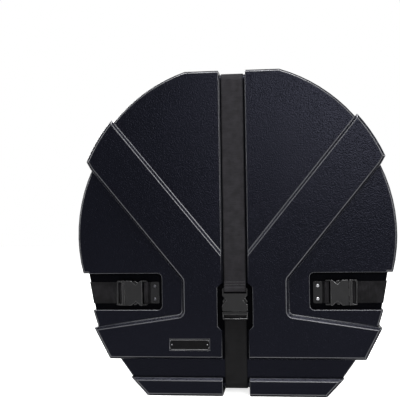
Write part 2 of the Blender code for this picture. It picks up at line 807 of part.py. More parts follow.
def plug_hook():
    """The webbing's way over the plug's middle rung, from its tail: along the pull, and up."""
    inner = -MOUTH_GAP - PLUG_INNER_RUNG - PLUG_SLOT / 2
    outer = inner - PLUG_SLOT - PLUG_MIDDLE_RUNG
    over = MIDDLE_RUNG_FRONT + LOW_WEB
    tail = inner + PLUG_TAIL
    return [(tail, LOW_WEB), (inner, LOW_WEB), (inner, over), (outer, over), (outer, LOW_WEB)]


def socket_hook(tail):
    """The webbing's way round the socket's end bar, from its sewn tail: along the pull, and up."""
    slot = SOCKET_BODY + SOCKET_SLOT / 2
    turn = SOCKET_LENGTH + BAR_TURN
    sewn = LOW_WEB + WEBBING + CLEARANCE
    over = [(turn + TAIL_SLOPE + tail, sewn), (turn + TAIL_SLOPE, sewn), (turn, BAR_WEB)]
    return over + [(slot, BAR_WEB), (slot, LOW_WEB)]


# Straps
def holed(piece, *plate_places):
    """Cut a plate's rivet holes in a piece."""
    for spot in plate_places:
        cut(piece, *rivet_holes(spot))
    return piece


def middle_straps():
    """Three lengths of one strap: over the lid's top, round the back, and under the lid."""
    y_out = CHANNEL_FLOOR + LOW_WEB
    top = CHANNEL_CEILING + LOW_WEB
    under = CHANNEL_FOOT_DEPTH - LOW_WEB
    bend = CHANNEL_BEND + LOW_WEB
    corners = [Vector((SEAM + CLEARANCE, top)), Vector((y_out, top)),
               Vector((y_out, under)), Vector((SEAM + CLEARANCE, under))]
    rear = [corners[0]]
    for index in (1, 2):
        rear += rounded_corner(corners[index - 1], corners[index], corners[index + 1], bend)
    rear.append(corners[3])
    plates = (top_place(SEAM + STRAP_PLATE_SETBACK), under_place(SEAM + STRAP_PLATE_SETBACK))
    strap(holed(ribbon(rear, PROFILE), *plates), "center_strap_rear")

    upper = [Vector((-CHANNEL_FLOOR - up, MIDDLE_MOUTH + along)) for along, up in socket_hook(UPPER_TAIL)]
    front_top = Vector((-y_out, top))
    seam_top = Vector((SEAM - 2 * CLEARANCE, top))
    upper += rounded_corner(upper[-1], front_top, seam_top, bend)
    upper.append(seam_top)
    strap(ribbon(upper, PROFILE), "center_strap_upper")

    lower = [Vector((-CHANNEL_FLOOR - up, MIDDLE_MOUTH + along)) for along, up in plug_hook()]
    seam_foot = Vector((SEAM - 2 * CLEARANCE, under))
    lower += rounded_corner(lower[-1], Vector((-y_out, under)), seam_foot, bend)
    lower.append(seam_foot)
    strap(ribbon(lower, PROFILE), "center_strap_lower")


def side_straps(side, name):
    """A side strap's lid length, its short base length, and the tab that holds the socket."""
    corner_x = SIDE_FLOOR + LOW_WEB / math.cos(SIDE_LEAN)
    floor_y = POCKET_FLOOR
    flap = [Vector((side * (SIDE_MOUTH - along), floor_y - up)) for along, up in plug_hook()]
    flap.append(Vector((side * corner_x, floor_y - LOW_WEB)))
    flap.append(Vector((side * corner_x, SEAM - 2 * CLEARANCE)))
    level = Matrix.Translation((0, 0, SIDE_STRAP_HEIGHT))

    def lean(point):
        on_wall = abs(point.x) > corner_x - WELD
        return side * SIDE_LEAN_SHARE * (point.z - SIDE_STRAP_HEIGHT) if on_wall else 0

    strap(ribbon(flap, level, lean), name + "_strap_front")

    rear = [Vector((side * corner_x, SEAM + CLEARANCE)), Vector((side * corner_x, SEAM + REAR_TAIL))]
    rear_piece = ribbon(rear, level, lean)
    strap(holed(rear_piece, wall_place(side, SEAM + REAR_PLATE_SETBACK)), name + "_strap_rear")

    tab = socket_hook(SIDE_TAIL)
    tab.append((ANCHOR_ALONG + PLATE_LENGTH / 2, LOW_WEB))
    tab = [Vector((side * (SIDE_MOUTH - along), floor_y - up)) for along, up in tab]
    strap(holed(ribbon(tab, level), anchor_place(side)), name + "_socket_tab")


# Plates, rivets and nameplate
def rivet(name, placement, stack):
    """A domed rivet whose head rests on a stack of the given height."""
    seat = stack + CLEARANCE
    shape = bmesh.new()
    bmesh.ops.create_uvsphere(shape, u_segments=ROUND_STEPS, v_segments=DOME_STEPS, radius=1)
    dome = Matrix.Diagonal((RIVET_HEAD, RIVET_HEAD, RIVET_HEAD_HEIGHT, 1))
    bmesh.ops.transform(shape, matrix=dome, verts=shape.verts)
    below = [*shape.verts, *shape.edges, *shape.faces]
    bmesh.ops.bisect_plane(shape, geom=below, plane_co=(0, 0, 0), plane_no=(0, 0, 1), clear_inner=True)
    bmesh.ops.holes_fill(shape, edges=[e for e in shape.edges if e.is_boundary], sides=0)
    bmesh.ops.translate(shape, vec=(0, 0, seat), verts=shape.verts)
    mesh = bpy.data.meshes.new(name)
    shape.to_mesh(mesh)
    shape.free()
    body = held(cleaned(mesh))
    join(body, peg(RIVET_RADIUS, -WALL, seat + CLEARANCE, PLAN))
    body.matrix_world = placement
    return steel(body, name)


def anchor(name, plate_place):
    """A plate over webbing, with its two rivets."""
    start = CLEARANCE + WEBBING + CLEARANCE
    length, width = PLATE_LENGTH / 2, PLATE_WIDTH / 2
    plate = box((-length, -width, start), (length, width, start + PLATE), plate_place)
    blackened(holed(plate, plate_place), name + "_plate")
    for index, spot in enumerate(rivet_places(plate_place)):
        rivet(name + "_rivet_" + str(index + 1), spot, start + PLATE)


def badge():
    """The bare nameplate in its sink, and the two pins through it."""
    spot = badge_place()
    plate = box(
        (-BADGE_HALF_LENGTH, -BADGE_HALF_HEIGHT, CLEARANCE),
        (BADGE_HALF_LENGTH, BADGE_HALF_HEIGHT, CLEARANCE + BADGE),
        spot,
    )
    offset = BADGE_HALF_LENGTH - BADGE_PIN_MARGIN
    for side, name in ((-1, "badge_pin_left"), (1, "badge_pin_right")):
        pin_spot = spot @ Matrix.Translation((side * offset, 0, 0))
        cut(plate, peg(BADGE_PIN + CLEARANCE, -OVERRUN, OVERRUN, pin_spot))
        steel(peg(BADGE_PIN, CLEARANCE, CLEARANCE + BADGE, pin_spot), name)
    finish_part(plate, "badge_plate", (0.010, 0.010, 0.011), 0.30)


# Handle
def handle():
    """A bail between two lugged brackets, with a round grip on it."""
    start_x = LUG_START + LUG_LENGTH - CLEARANCE
    corners = [Vector((-start_x, 0)), Vector((-BAIL_HALF, 0)), Vector((-BAIL_HALF, BAIL_REACH)),
               Vector((BAIL_HALF, BAIL_REACH)), Vector((BAIL_HALF, 0)), Vector((start_x, 0))]
    bends = (0, BAIL_RADIUS + LUG_GAP, BAIL_BEND, BAIL_BEND, BAIL_RADIUS + LUG_GAP, 0)
    path = [corners[0]]
    for index in range(1, 5):
        path += rounded_corner(corners[index - 1], corners[index], corners[index + 1], bends[index])
    path.append(corners[-1])
    pivot = Matrix.Translation((0, HANDLE_Y, HANDLE_Z))
    bail = curve_piece(path, False, 0, PLAN, BAIL_RADIUS)
    bail.matrix_world = pivot
    steel(bail, "handle_bail")

    along_x = frame((0, 1, 0), (0, 0, 1), (1, 0, 0), (0, BAIL_REACH, 0))
    grip = peg(GRIP_RADIUS, -GRIP_HALF, GRIP_HALF, along_x, 2 * ROUND_STEPS)
    cut(grip, peg(BAIL_RADIUS + CLEARANCE, -GRIP_HALF - OVERRUN, GRIP_HALF + OVERRUN, along_x))
    grip.matrix_world = pivot
    plastic(grip, "handle_grip")

    for side, name in ((-1, "left"), (1, "right")):
        spot = bracket_place(side)
        half = LUG_LENGTH / 2
        margin = half + FOOT_PLATE_MARGIN
        bracket = box((-margin, -FOOT_PLATE_HALF, CLEARANCE), (margin, FOOT_PLATE_HALF, FOOT_PLATE))
        join(bracket, box((-half, -LUG_HALF, FOOT_PLATE / 2), (half, LUG_HALF, PIVOT_HEIGHT + LUG_TOP)))
        bore = frame((0, 1, 0), (0, 0, 1), (1, 0, 0), (0, 0, PIVOT_HEIGHT))
        cut(bracket, peg(BAIL_RADIUS + CLEARANCE, -OVERRUN, OVERRUN, bore))
        for index, screw_spot in enumerate(screw_places(side)):
            cut(bracket, peg(SCREW_HOLE, -OVERRUN, OVERRUN, spot.inverted() @ screw_spot))
            seat = FOOT_PLATE + CLEARANCE
            screw = peg(SCREW_HEAD, seat, seat + SCREW_HEAD_HEIGHT, PLAN)
            join(screw, peg(SCREW_RADIUS, -WALL, seat + CLEARANCE, PLAN))
            screw.matrix_world = screw_spot
            steel(screw, "handle_screw_" + name + "_" + str(index + 1))
        bracket.matrix_world = spot
        plastic(bracket, "handle_bracket_" + name)


def centre():
    """Move the whole case so that its origin is under the middle of its overall depth."""
    proud = max(0, BUCKLE_THICKNESS - CHANNEL_DEPTH)
    for piece in parts.objects:
        piece.matrix_world = Matrix.Translation((0, proud / 2, 0)) @ piece.matrix_world


def build():
    """Model every sub-part."""
    start()
    lid_shell()
    base_shell()
    linings()
    buckle("center", middle_place(), ("center_prong_left", "center_prong_right"))
    buckle("right", side_place(1), ("right_prong_lower", "right_prong_upper"))
    buckle("left", side_place(-1), ("left_prong_upper", "left_prong_lower"))
    middle_straps()
    for side, name in ((1, "right"), (-1, "left")):
        side_straps(side, name)
        anchor(name + "_lid_anchor", anchor_place(side))
        anchor(name + "_base_anchor", wall_place(side, SEAM + REAR_PLATE_SETBACK))
    anchor("top_strap_anchor", top_place(SEAM + STRAP_PLATE_SETBACK))
    anchor("bottom_strap_anchor", under_place(SEAM + STRAP_PLATE_SETBACK))
    badge()
    handle()
    centre()


build()
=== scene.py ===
# %% [markdown]
# # A hard case for a bass drum
#
# The real case is moulded in two black halves that meet on an upright seam. Red
# foam lines the inside, and three webbing straps with side release buckles hold
# the lid on. The CAD model already says where every part is and how it moves.
# This lesson gives each part the shape and the finish that the eye expects, and
# lights the case as in a studio.

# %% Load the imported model
import json
import math
from contextlib import contextmanager

import bmesh
import bpy
from mathutils import Matrix, Vector
from mathutils.bvhtree import BVHTree
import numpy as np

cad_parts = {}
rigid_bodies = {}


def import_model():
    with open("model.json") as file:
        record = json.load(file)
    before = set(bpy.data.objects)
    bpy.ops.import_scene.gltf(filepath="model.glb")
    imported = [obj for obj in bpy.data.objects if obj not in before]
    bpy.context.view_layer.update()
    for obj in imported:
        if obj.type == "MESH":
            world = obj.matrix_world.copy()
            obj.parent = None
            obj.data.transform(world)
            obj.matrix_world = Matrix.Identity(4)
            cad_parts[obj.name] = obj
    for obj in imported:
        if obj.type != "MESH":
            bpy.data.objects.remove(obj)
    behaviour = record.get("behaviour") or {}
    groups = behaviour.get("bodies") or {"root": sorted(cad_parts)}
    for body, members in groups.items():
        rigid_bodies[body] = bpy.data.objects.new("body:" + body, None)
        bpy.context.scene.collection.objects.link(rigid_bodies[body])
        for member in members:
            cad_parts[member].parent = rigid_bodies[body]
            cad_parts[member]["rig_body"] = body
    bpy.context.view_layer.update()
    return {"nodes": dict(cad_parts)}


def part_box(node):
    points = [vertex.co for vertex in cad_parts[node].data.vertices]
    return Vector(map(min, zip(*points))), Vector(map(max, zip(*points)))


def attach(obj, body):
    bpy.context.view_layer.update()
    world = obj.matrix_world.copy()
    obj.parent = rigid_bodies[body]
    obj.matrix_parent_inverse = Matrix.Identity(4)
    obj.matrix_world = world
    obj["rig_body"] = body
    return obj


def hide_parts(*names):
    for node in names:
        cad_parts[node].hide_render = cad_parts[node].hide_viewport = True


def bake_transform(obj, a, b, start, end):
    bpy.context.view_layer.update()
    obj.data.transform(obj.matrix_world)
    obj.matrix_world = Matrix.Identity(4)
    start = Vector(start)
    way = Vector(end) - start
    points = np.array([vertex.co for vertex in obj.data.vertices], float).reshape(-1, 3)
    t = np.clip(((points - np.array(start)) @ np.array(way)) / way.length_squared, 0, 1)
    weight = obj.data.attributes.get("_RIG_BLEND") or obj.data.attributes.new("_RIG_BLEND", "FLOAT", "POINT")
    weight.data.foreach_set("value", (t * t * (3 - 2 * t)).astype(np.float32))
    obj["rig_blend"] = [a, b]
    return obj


for leftover in list(bpy.data.objects):
    bpy.data.objects.remove(leftover)
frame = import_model()
nodes = frame["nodes"]


# %% [markdown]
# ## The camera
#
# The photograph looks at the lid almost square on, from a little to the right,
# with the camera turned by a degree. A 70 mm lens two metres away gives the same
# mild perspective. The place and the turns were fitted to the corners of the
# case in the picture, so that the parts land where the picture has them.

# %% Camera
LENS = 70
CAMERA_PLACE = (0.122, -2.040, 0.442)
CAMERA_PAN = math.radians(6.41)
CAMERA_TILT = math.radians(0.19)
CAMERA_ROLL = math.radians(-0.91)

bpy.ops.object.camera_add(location=CAMERA_PLACE)
camera = bpy.context.object
camera.name = "studio_camera"
camera.data.lens = LENS
camera.data.dof.use_dof = False
level = Matrix.Rotation(math.pi / 2, 4, "X")
pan = Matrix.Rotation(CAMERA_PAN, 4, "Z")
tilt = Matrix.Rotation(CAMERA_TILT, 4, "X")
roll = Matrix.Rotation(CAMERA_ROLL, 4, "Z")
turn = pan @ level @ tilt
camera.matrix_world = Matrix.Translation(CAMERA_PLACE) @ turn @ roll
bpy.context.scene.camera = camera
print("camera looks from", CAMERA_PLACE, "with a", LENS, "mm lens")

# %% [markdown]
# ## Shader maths as Python expressions
#
# A shader is a graph of nodes. Here one small class wraps an output socket and
# gives it Python's operators, so that `1 - mask * 0.5` adds the Math nodes by
# itself. Every other node comes from one method, which first sets what the node
# is and then its values or wires.

# %% Signal and Finish
class Signal:
    """A wire of a shader graph, on which +, - and * add Math nodes."""

    def __init__(self, finish, socket):
        self.finish = finish
        self.socket = socket

    def maths(self, operation, *values):
        settings = {"operation": operation}
        return self.finish.node("ShaderNodeMath", settings, dict(enumerate(values)))

    def __add__(self, other):
        return self.maths("ADD", self, other)

    def __sub__(self, other):
        return self.maths("SUBTRACT", self, other)

    def __rsub__(self, other):
        return self.maths("SUBTRACT", other, self)

    def __mul__(self, other):
        return self.maths("MULTIPLY", self, other)

    __radd__ = __add__
    __rmul__ = __mul__

    def clamp(self):
        return self.maths("MAXIMUM", self.maths("MINIMUM", self, 1.0), 0.0)

    def wave(self, pitch):
        """A sine of this length, from 0 to 1."""
        return self.maths("SINE", self * (2 * math.pi / pitch)) * 0.5 + 0.5


class Finish:
    """A Principled material whose nodes are added by calls."""

    def __init__(self, name, **constants):
        self.material = bpy.data.materials.new(name)
        self.material.use_nodes = True
        self.tree = self.material.node_tree
        self.shader = self.tree.nodes["Principled BSDF"]
        for socket, value in constants.items():
            self.shader.inputs[socket.replace("_", " ")].default_value = value

    def node(self, kind, settings=None, values=None, output=0):
        """Add a node: its settings first, then a value or a wire for each named input."""
        made = self.tree.nodes.new(kind)
        for key, value in (settings or {}).items():
            setattr(made, key, value)
        for key, value in (values or {}).items():
            if isinstance(value, Signal):
                self.tree.links.new(value.socket, made.inputs[key])
            else:
                made.inputs[key].default_value = value
        return Signal(self, made.outputs[output])

    def attribute(self, name, output="Fac"):
        """What the mesh carries under a name."""
        return self.node("ShaderNodeAttribute", {"attribute_name": name}, output=output)

    def axis(self, name, vector):
        return self.node("ShaderNodeSeparateXYZ", None, {"Vector": vector}, output=name)

    def place(self, stretch=(1, 1, 1)):
        """Object coordinates in metres, stretched along each axis."""
        spot = self.node("ShaderNodeTexCoord", output="Object")
        return self.node("ShaderNodeMapping", None, {"Vector": spot, "Scale": stretch})

    def noise(self, spot, scale, detail):
        values = {"Vector": spot, "Scale": scale, "Detail": detail}
        return self.node("ShaderNodeTexNoise", None, values)

    def between(self, signal, low, high):
        """Stretch a signal so that low becomes 0 and high becomes 1, and clip it there."""
        return self.node("ShaderNodeMapRange", {"clamp": True},
                         {"Value": signal, "From Min": low, "From Max": high})

    def blend(self, factor, first, second):
        """Mix two colours, each a wire or its red, green and blue."""
        first, second = (colour if isinstance(colour, Signal) else (*colour, 1.0)
                         for colour in (first, second))
        values = {0: factor, 6: first, 7: second}
        return self.node("ShaderNodeMix", {"data_type": "RGBA"}, values, output=2)

    def bump(self, height, distance, strength):
        values = {"Height": height, "Distance": distance, "Strength": strength}
        return self.node("ShaderNodeBump", None, values)

    def feed(self, **wires):
        """Wire the shader's sockets and hand the material back."""
        for socket, signal in wires.items():
            self.tree.links.new(signal.socket, self.shader.inputs[socket.replace("_", " ")])
        return self.material


print("the shader tools are ready")

# %% [markdown]
# ## The moulded plastic
#
# The halves are moulded from black polyethylene with a pebbled grain of about two
# millimetres. In the picture it is a blue black that takes a wide, soft sheen, in
# which the grain sparkles. Cells of a Voronoi pattern make the pebbles, a finer
# noise breaks them up, and both only tilt the surface through a Bump node. Edges
# that hands and floors rub are shinier, with a clear coat, and paler in patches,
# partly as wear and partly as a painted highlight. An attribute of the mesh is one
# along the middle of each rounded edge and on the two slanted lips under the middle
# buckle, whose paler colour is a painted highlight. The floors of the three buckle
# recesses and of the strap channel get a duller copy of the material, whose colour
# is painted almost black as painted shade.

# %% Plastic
def moulded_plastic(name, dark, pale, shine, rough):
    """Blue black polyethylene with a pebbled grain, its edges paler from wear and a painted highlight."""
    finish = Finish(name, Specular_IOR_Level=shine, Specular_Tint=(0.72, 0.74, 1.0, 1.0),
                    Coat_Roughness=0.36, Coat_IOR=1.75)
    spot = finish.place()
    pebbles = finish.node("ShaderNodeTexVoronoi", {"feature": "SMOOTH_F1"},
                          {"Vector": spot, "Scale": 420.0, "Smoothness": 0.5})
    clumps = finish.noise(spot, 400.0, 1.0)
    cloud = finish.noise(spot, 5.0, 3.0)
    rub_and_highlight = finish.attribute("rub_and_highlight")
    # the marked edges are paler in patches: partly wear, partly a painted highlight
    worn = rub_and_highlight * finish.between(finish.noise(spot, 45.0, 4.0), 0.25, 0.50)
    body = finish.blend(cloud, dark, pale)
    colour = finish.blend(worn * 0.4, body, (0.020, 0.021, 0.025))
    height = (1 - pebbles) * 0.3 + clumps
    return finish.feed(Base_Color=colour, Roughness=rough + cloud * 0.04 + clumps * 0.05,
                       Coat_Weight=rub_and_highlight * 0.6, Normal=finish.bump(height, 0.0006, 1.0))


shell_plastic = moulded_plastic("moulded_plastic", (0.0011, 0.0012, 0.0020), (0.0016, 0.0017, 0.0028),
                                shine=0.050, rough=0.13)
# a copy painted almost black and with little shine, as painted shade for the deep floors
shaded_floor_plastic = moulded_plastic("painted_shade_plastic", (0.0003, 0.0003, 0.0004), (0.0006, 0.0006, 0.0008),
                                shine=0.012, rough=0.50)
print("made", shell_plastic.name, "and", shaded_floor_plastic.name)

# %% [markdown]
# ## Working by hand, from code
#
# The operators of `bpy.ops` act on whatever is selected, as they do for a hand on
# the mouse. So everything is deselected first, the object is chosen, and in edit
# mode the vertices, edges or faces are picked by their place or direction.

# %% Select and edit
MERGE = 0.00001
SAME_PLANE = math.radians(0.6)


def choose(piece):
    """Leave one object selected and active."""
    bpy.ops.object.select_all(action="DESELECT")
    piece.select_set(True)
    bpy.context.view_layer.objects.active = piece
    return piece


@contextmanager
def editing(piece, start="DESELECT"):
    """Edit mode for one piece, with nothing in it selected at the start, or all of it."""
    choose(piece)
    bpy.ops.object.mode_set(mode="EDIT")
    bpy.ops.mesh.select_mode(type="VERT")
    bpy.ops.mesh.select_all(action=start)
    yield piece
    bpy.ops.object.mode_set(mode="OBJECT")


def pick(piece, kind, test):
    """Select the vertices, edges or faces for which the test holds, and count them."""
    bpy.ops.mesh.select_mode(type=kind)
    bpy.ops.mesh.select_all(action="DESELECT")
    shape = bmesh.from_edit_mesh(piece.data)
    parts = {"VERT": shape.verts, "EDGE": shape.edges, "FACE": shape.faces}[kind]
    found = [part for part in parts if test(part)]
    for part in found:
        part.select_set(True)
    shape.select_flush_mode()
    bmesh.update_edit_mesh(piece.data)
    return len(found)


def round_edges(radius, segments, clamp_overlap=False, miter_outer="SHARP"):
    """Bevel the selected edges round."""
    bpy.ops.mesh.bevel(offset=radius, segments=segments, affect="EDGES",
                       clamp_overlap=clamp_overlap, miter_outer=miter_outer)


def face_outward():
    """Turn every face of the piece in edit mode outward."""
    bpy.ops.mesh.select_all(action="SELECT")
    bpy.ops.mesh.normals_make_consistent(inside=False)


def apply_modifier(piece, kind, **settings):
    choose(piece)
    step = piece.modifiers.new("step", kind)
    for key, value in settings.items():
        setattr(step, key, value)
    bpy.ops.object.modifier_apply(modifier=step.name)
    return piece


def added(name, data):
    """A new object in the scene that shows this mesh or curve."""
    piece = bpy.data.objects.new(name, data)
    bpy.context.scene.collection.objects.link(piece)
    return piece


def merged_copy(node):
    """A copy of a CAD node with its loose triangles merged and its flat faces joined."""
    piece = added(node + "_copy", nodes[node].data.copy())
    with editing(piece, "SELECT"):
        bpy.ops.mesh.remove_doubles(threshold=MERGE)
        bpy.ops.mesh.dissolve_limited(angle_limit=SAME_PLANE)
    bpy.ops.mesh.customdata_custom_splitnormals_clear()
    return piece


def shade(piece, angle=35):
    """Smooth shading up to an angle, with wide flat faces kept flat."""
    choose(piece)
    bpy.ops.object.shade_smooth_by_angle(angle=math.radians(angle))
    return apply_modifier(piece, "WEIGHTED_NORMAL", keep_sharp=True)


def triangles(piece):
    return sum(len(face.vertices) - 2 for face in piece.data.polygons)


def settle(piece, name, finish, slot, *stands_for, body=None):
    """Name a finished piece, give it its material and let it ride for its CAD nodes."""
    choose(piece)
    bpy.ops.object.transform_apply(location=True, rotation=True, scale=True)
    piece.name = piece.data.name = name
    piece.data.materials.clear()
    piece.data.materials.append(finish)
    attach(piece, body or nodes[stands_for[0]]["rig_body"])
    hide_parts(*stands_for)


print("the hand tools are ready")

# %% [markdown]
# ## The two moulded halves
#
# The CAD shells have the true outline with flat chamfers. A moulded edge is
# round, and its roundness is what draws the pale lines round every panel. The
# copy is bevelled in edit mode. First the two slanted lips under the middle buckle
# get a wide round. Then come the outer edges that stick out: a ray from the middle
# of each edge finds out whether open air lies outside it. Last the long inner
# corners at the foot of each step on the two faces are filled.

# %% Tests for edges and faces
EDGE_ROUND = 0.0015
FOOT_ROUND = 0.0018
LIP_ROUND = 0.0042
SHORT_EDGE = 0.0035
NARROW = 0.0006
RAY_START = 0.0001
FACE_DEPTH = 0.265
FACE_FOOT = 0.13
RECESS_DEPTH = -0.2528
CHANNEL_DEPTH = -0.2668
FLOOR_NEAR = 0.0005
CHANNEL_CORE = 0.01
LIP_EDGES = ((0.030, -0.290, 0.150), (0.040, -0.277, 0.159))
LIP_FACES = ((0.0305, -0.2784, 0.1465), (0.0405, -0.2752, 0.1595))


def closed_case(*shells):
    """Both shells as one body that a ray can be shot against."""
    corners, faces = [], []
    for shell in shells:
        start = len(corners)
        corners += [vertex.co.copy() for vertex in shell.data.vertices]
        faces += [[start + index for index in face.vertices] for face in shell.data.polygons]
    return BVHTree.FromPolygons(corners, faces)


def middle(edge):
    return (edge.verts[0].co + edge.verts[1].co) / 2


def sharp(edge, least, angle=18):
    """Whether an edge is long enough and has an angle that the eye sees."""
    return (len(edge.link_faces) == 2 and edge.calc_length() > least
            and edge.calc_face_angle() > math.radians(angle))


def open_outside(edge, body):
    outward = (edge.link_faces[0].normal + edge.link_faces[1].normal).normalized()
    return body.ray_cast(middle(edge) + outward * RAY_START, outward)[0] is None


def step_foot(edge):
    """A concave edge of the front or back face, above the sunk band."""
    spot = middle(edge)
    above_band = abs(spot.y) > FACE_DEPTH and spot.z > FACE_FOOT
    return above_band and sharp(edge, SHORT_EDGE) and not edge.is_convex


def at_right_or_left(spot, low, high):
    """Whether a point, or its mirror image, is inside the box from low to high."""
    mirrored = (abs(spot.x), spot.y, spot.z)
    return all(least < value < most for least, value, most in zip(low, mirrored, high))


def pocket_lip(edge):
    """One of the two slanted edges at the foot of the middle buckle's pocket."""
    return (edge.is_convex and sharp(edge, SHORT_EDGE, 80)
            and at_right_or_left(middle(edge), *LIP_EDGES))


def faces_front(face):
    return face.normal.y < -0.99


def deep_floor(face):
    """The floor under a buckle, or the one that the middle strap lies on."""
    spot = face.calc_center_median()
    under_buckle = abs(spot.y - RECESS_DEPTH) < FLOOR_NEAR and spot.z > FACE_FOOT
    under_strap = abs(spot.y - CHANNEL_DEPTH) < FLOOR_NEAR and abs(spot.x) < CHANNEL_CORE
    return faces_front(face) and (under_buckle or under_strap)


def narrow(face):
    """Whether a selected face is a strip less than about 1.2 mm wide."""
    return face.select and face.calc_area() < NARROW * face.calc_perimeter()


def mark_rub_and_highlight(piece, test):
    """Set the wear and painted highlight mark to one where the test holds, and count the vertices."""
    shape = bmesh.from_edit_mesh(piece.data)
    rub_and_highlight = shape.verts.layers.float["rub_and_highlight"]
    rubbed_or_highlighted = [vertex for vertex in shape.verts if test(vertex)]
    for vertex in rubbed_or_highlighted:
        vertex[rub_and_highlight] = 1.0
    bmesh.update_edit_mesh(piece.data)
    return len(rubbed_or_highlighted)


def inside_bevel(vertex):
    """Whether a vertex has only faces round it that a bevel has just made."""
    return all(narrow(face) for face in vertex.link_faces)


def tidied():
    """Take out the faces of no size from the piece in edit mode, and turn all outward."""
    bpy.ops.mesh.select_all(action="SELECT")
    bpy.ops.mesh.dissolve_degenerate(threshold=2 * MERGE)
    face_outward()


print("the tests are ready")

# %% Lid and base mouldings
SHELLS = {"lid_shell": "lid_moulding", "base_shell": "base_moulding"}
copies = [merged_copy(node) for node in SHELLS]
case = closed_case(*copies)
for shell, (node, name) in zip(copies, SHELLS.items()):
    shell.data.attributes.new("rub_and_highlight", "FLOAT", "POINT")
    with editing(shell):
        lips = pick(shell, "EDGE", pocket_lip)
        if lips:
            round_edges(LIP_ROUND, 6)
        count = pick(shell, "EDGE", lambda edge: edge.is_convex and sharp(edge, SHORT_EDGE)
                     and open_outside(edge, case))
        round_edges(EDGE_ROUND, 3, miter_outer="ARC")
        rubbed_or_highlighted = mark_rub_and_highlight(shell, inside_bevel)
        feet = pick(shell, "EDGE", step_foot)
        round_edges(FOOT_ROUND, 3, miter_outer="ARC")
        mark_rub_and_highlight(shell, inside_bevel)
        # the lips get the mark too, for a coat and a painted highlight in their colour
        mark_rub_and_highlight(shell, lambda vertex: at_right_or_left(vertex.co, *LIP_FACES))
        tidied()
    shade(shell)
    settle(shell, name, shell_plastic, "shell", node)
    # the deep floors under the buckles and the strap get the copy painted almost black, as painted shade
    shell.data.materials.append(shaded_floor_plastic)
    with editing(shell):
        floors = pick(shell, "FACE", deep_floor)
        shell.active_material_index = 1
        bpy.ops.object.material_slot_assign()
    print(name, "has", lips, "lips,", count, "edges and", feet, "feet rounded,", rubbed_or_highlighted,
          "rubbed points,", floors, "dull floors,", triangles(shell), "triangles")

# %% [markdown]
# ## Red foam inside
#
# Sheets of closed cell foam are glued in: a pad on each face and a band round
# each wall. Each sheet starts from its CAD solid, and its cut edges are rounded. A
# pad also swells a little in its middle, so its wide face that looks into the case
# is inset and pushed out by a millimetre and a half.

# %% Foam
FOAM_ROUND = 0.0025
FOAM_SWELL = 0.0015
FOAM_STEPS = 3
FOAM_INSET = 0.006


def foam_finish():
    """Bright red closed cell foam."""
    finish = Finish("red_foam", Specular_IOR_Level=0.25)
    spot = finish.place()
    cells = finish.node("ShaderNodeTexVoronoi", {"feature": "DISTANCE_TO_EDGE"},
                        {"Vector": spot, "Scale": 900.0})
    soft = finish.noise(spot, 14.0, 3.0)
    body = finish.blend(soft, (0.72, 0.004, 0.004), (0.86, 0.008, 0.006))
    colour = finish.blend(finish.between(cells, 0.0, 0.12), (0.50, 0.002, 0.002), body)
    relief = finish.bump(cells + soft * 2.0, 0.0004, 0.35)
    return finish.feed(Base_Color=colour, Roughness=0.82 + soft * 0.1, Normal=relief)


red_foam = foam_finish()


def swell(piece, inward):
    """Raise the middle of the wide flat face that looks inward."""
    way = Vector(inward)
    faces = [face for face in bmesh.from_edit_mesh(piece.data).faces if face.normal.dot(way) > 0.9]
    half_widest = max(face.calc_area() for face in faces) / 2
    pick(piece, "FACE", lambda face: face.normal.dot(way) > 0.9 and face.calc_area() > half_widest)
    for step in range(FOAM_STEPS):
        bpy.ops.mesh.inset(thickness=FOAM_INSET)
        bpy.ops.transform.translate(value=way * FOAM_SWELL / FOAM_STEPS)


for node, name, inward in (("lid_face_pad", "lid_face_foam", (0, 1, 0)),
                           ("base_back_pad", "base_back_foam", (0, -1, 0)),
                           ("lid_wall_lining", "lid_wall_foam", None),
                           ("base_wall_lining", "base_wall_foam", None)):
    sheet = merged_copy(node)
    with editing(sheet):
        pick(sheet, "EDGE", lambda edge: edge.is_convex and sharp(edge, SHORT_EDGE, 60))
        round_edges(FOAM_ROUND, 3, clamp_overlap=True)
        if inward:
            swell(sheet, inward)
    shade(sheet)
    settle(sheet, name, red_foam, "foam", node)
    print(name, triangles(sheet), "triangles")

# %% [markdown]
# ## Webbing
#
# The straps are woven nylon, 50 mm wide and 1.6 mm thick. A strap is drawn the
# way it lies: one edge as wide as the webbing is extruded from point to point
# along the route, with the bends rounded. Solidify gives it thickness and a small
# bevel rounds its woven edge. Where each vertex is on the cloth, across it and
# along it, is kept as an attribute, so that the ribs follow every bend.

# %% Weave
WEB_WIDTH = 0.050
WEB_THICK = 0.0016
RIB_PITCH = 0.0016
TWILL_PITCH = 0.0021
THREAD_PITCH = 0.0011
WEB_ROUND = 0.0005
WOVEN_EDGE = (0.0222, 0.0236)
# the heights over which the webbing is painted lighter, as if lit from above
PAINTED_LIGHT_HEIGHTS = (0.17, 0.24)


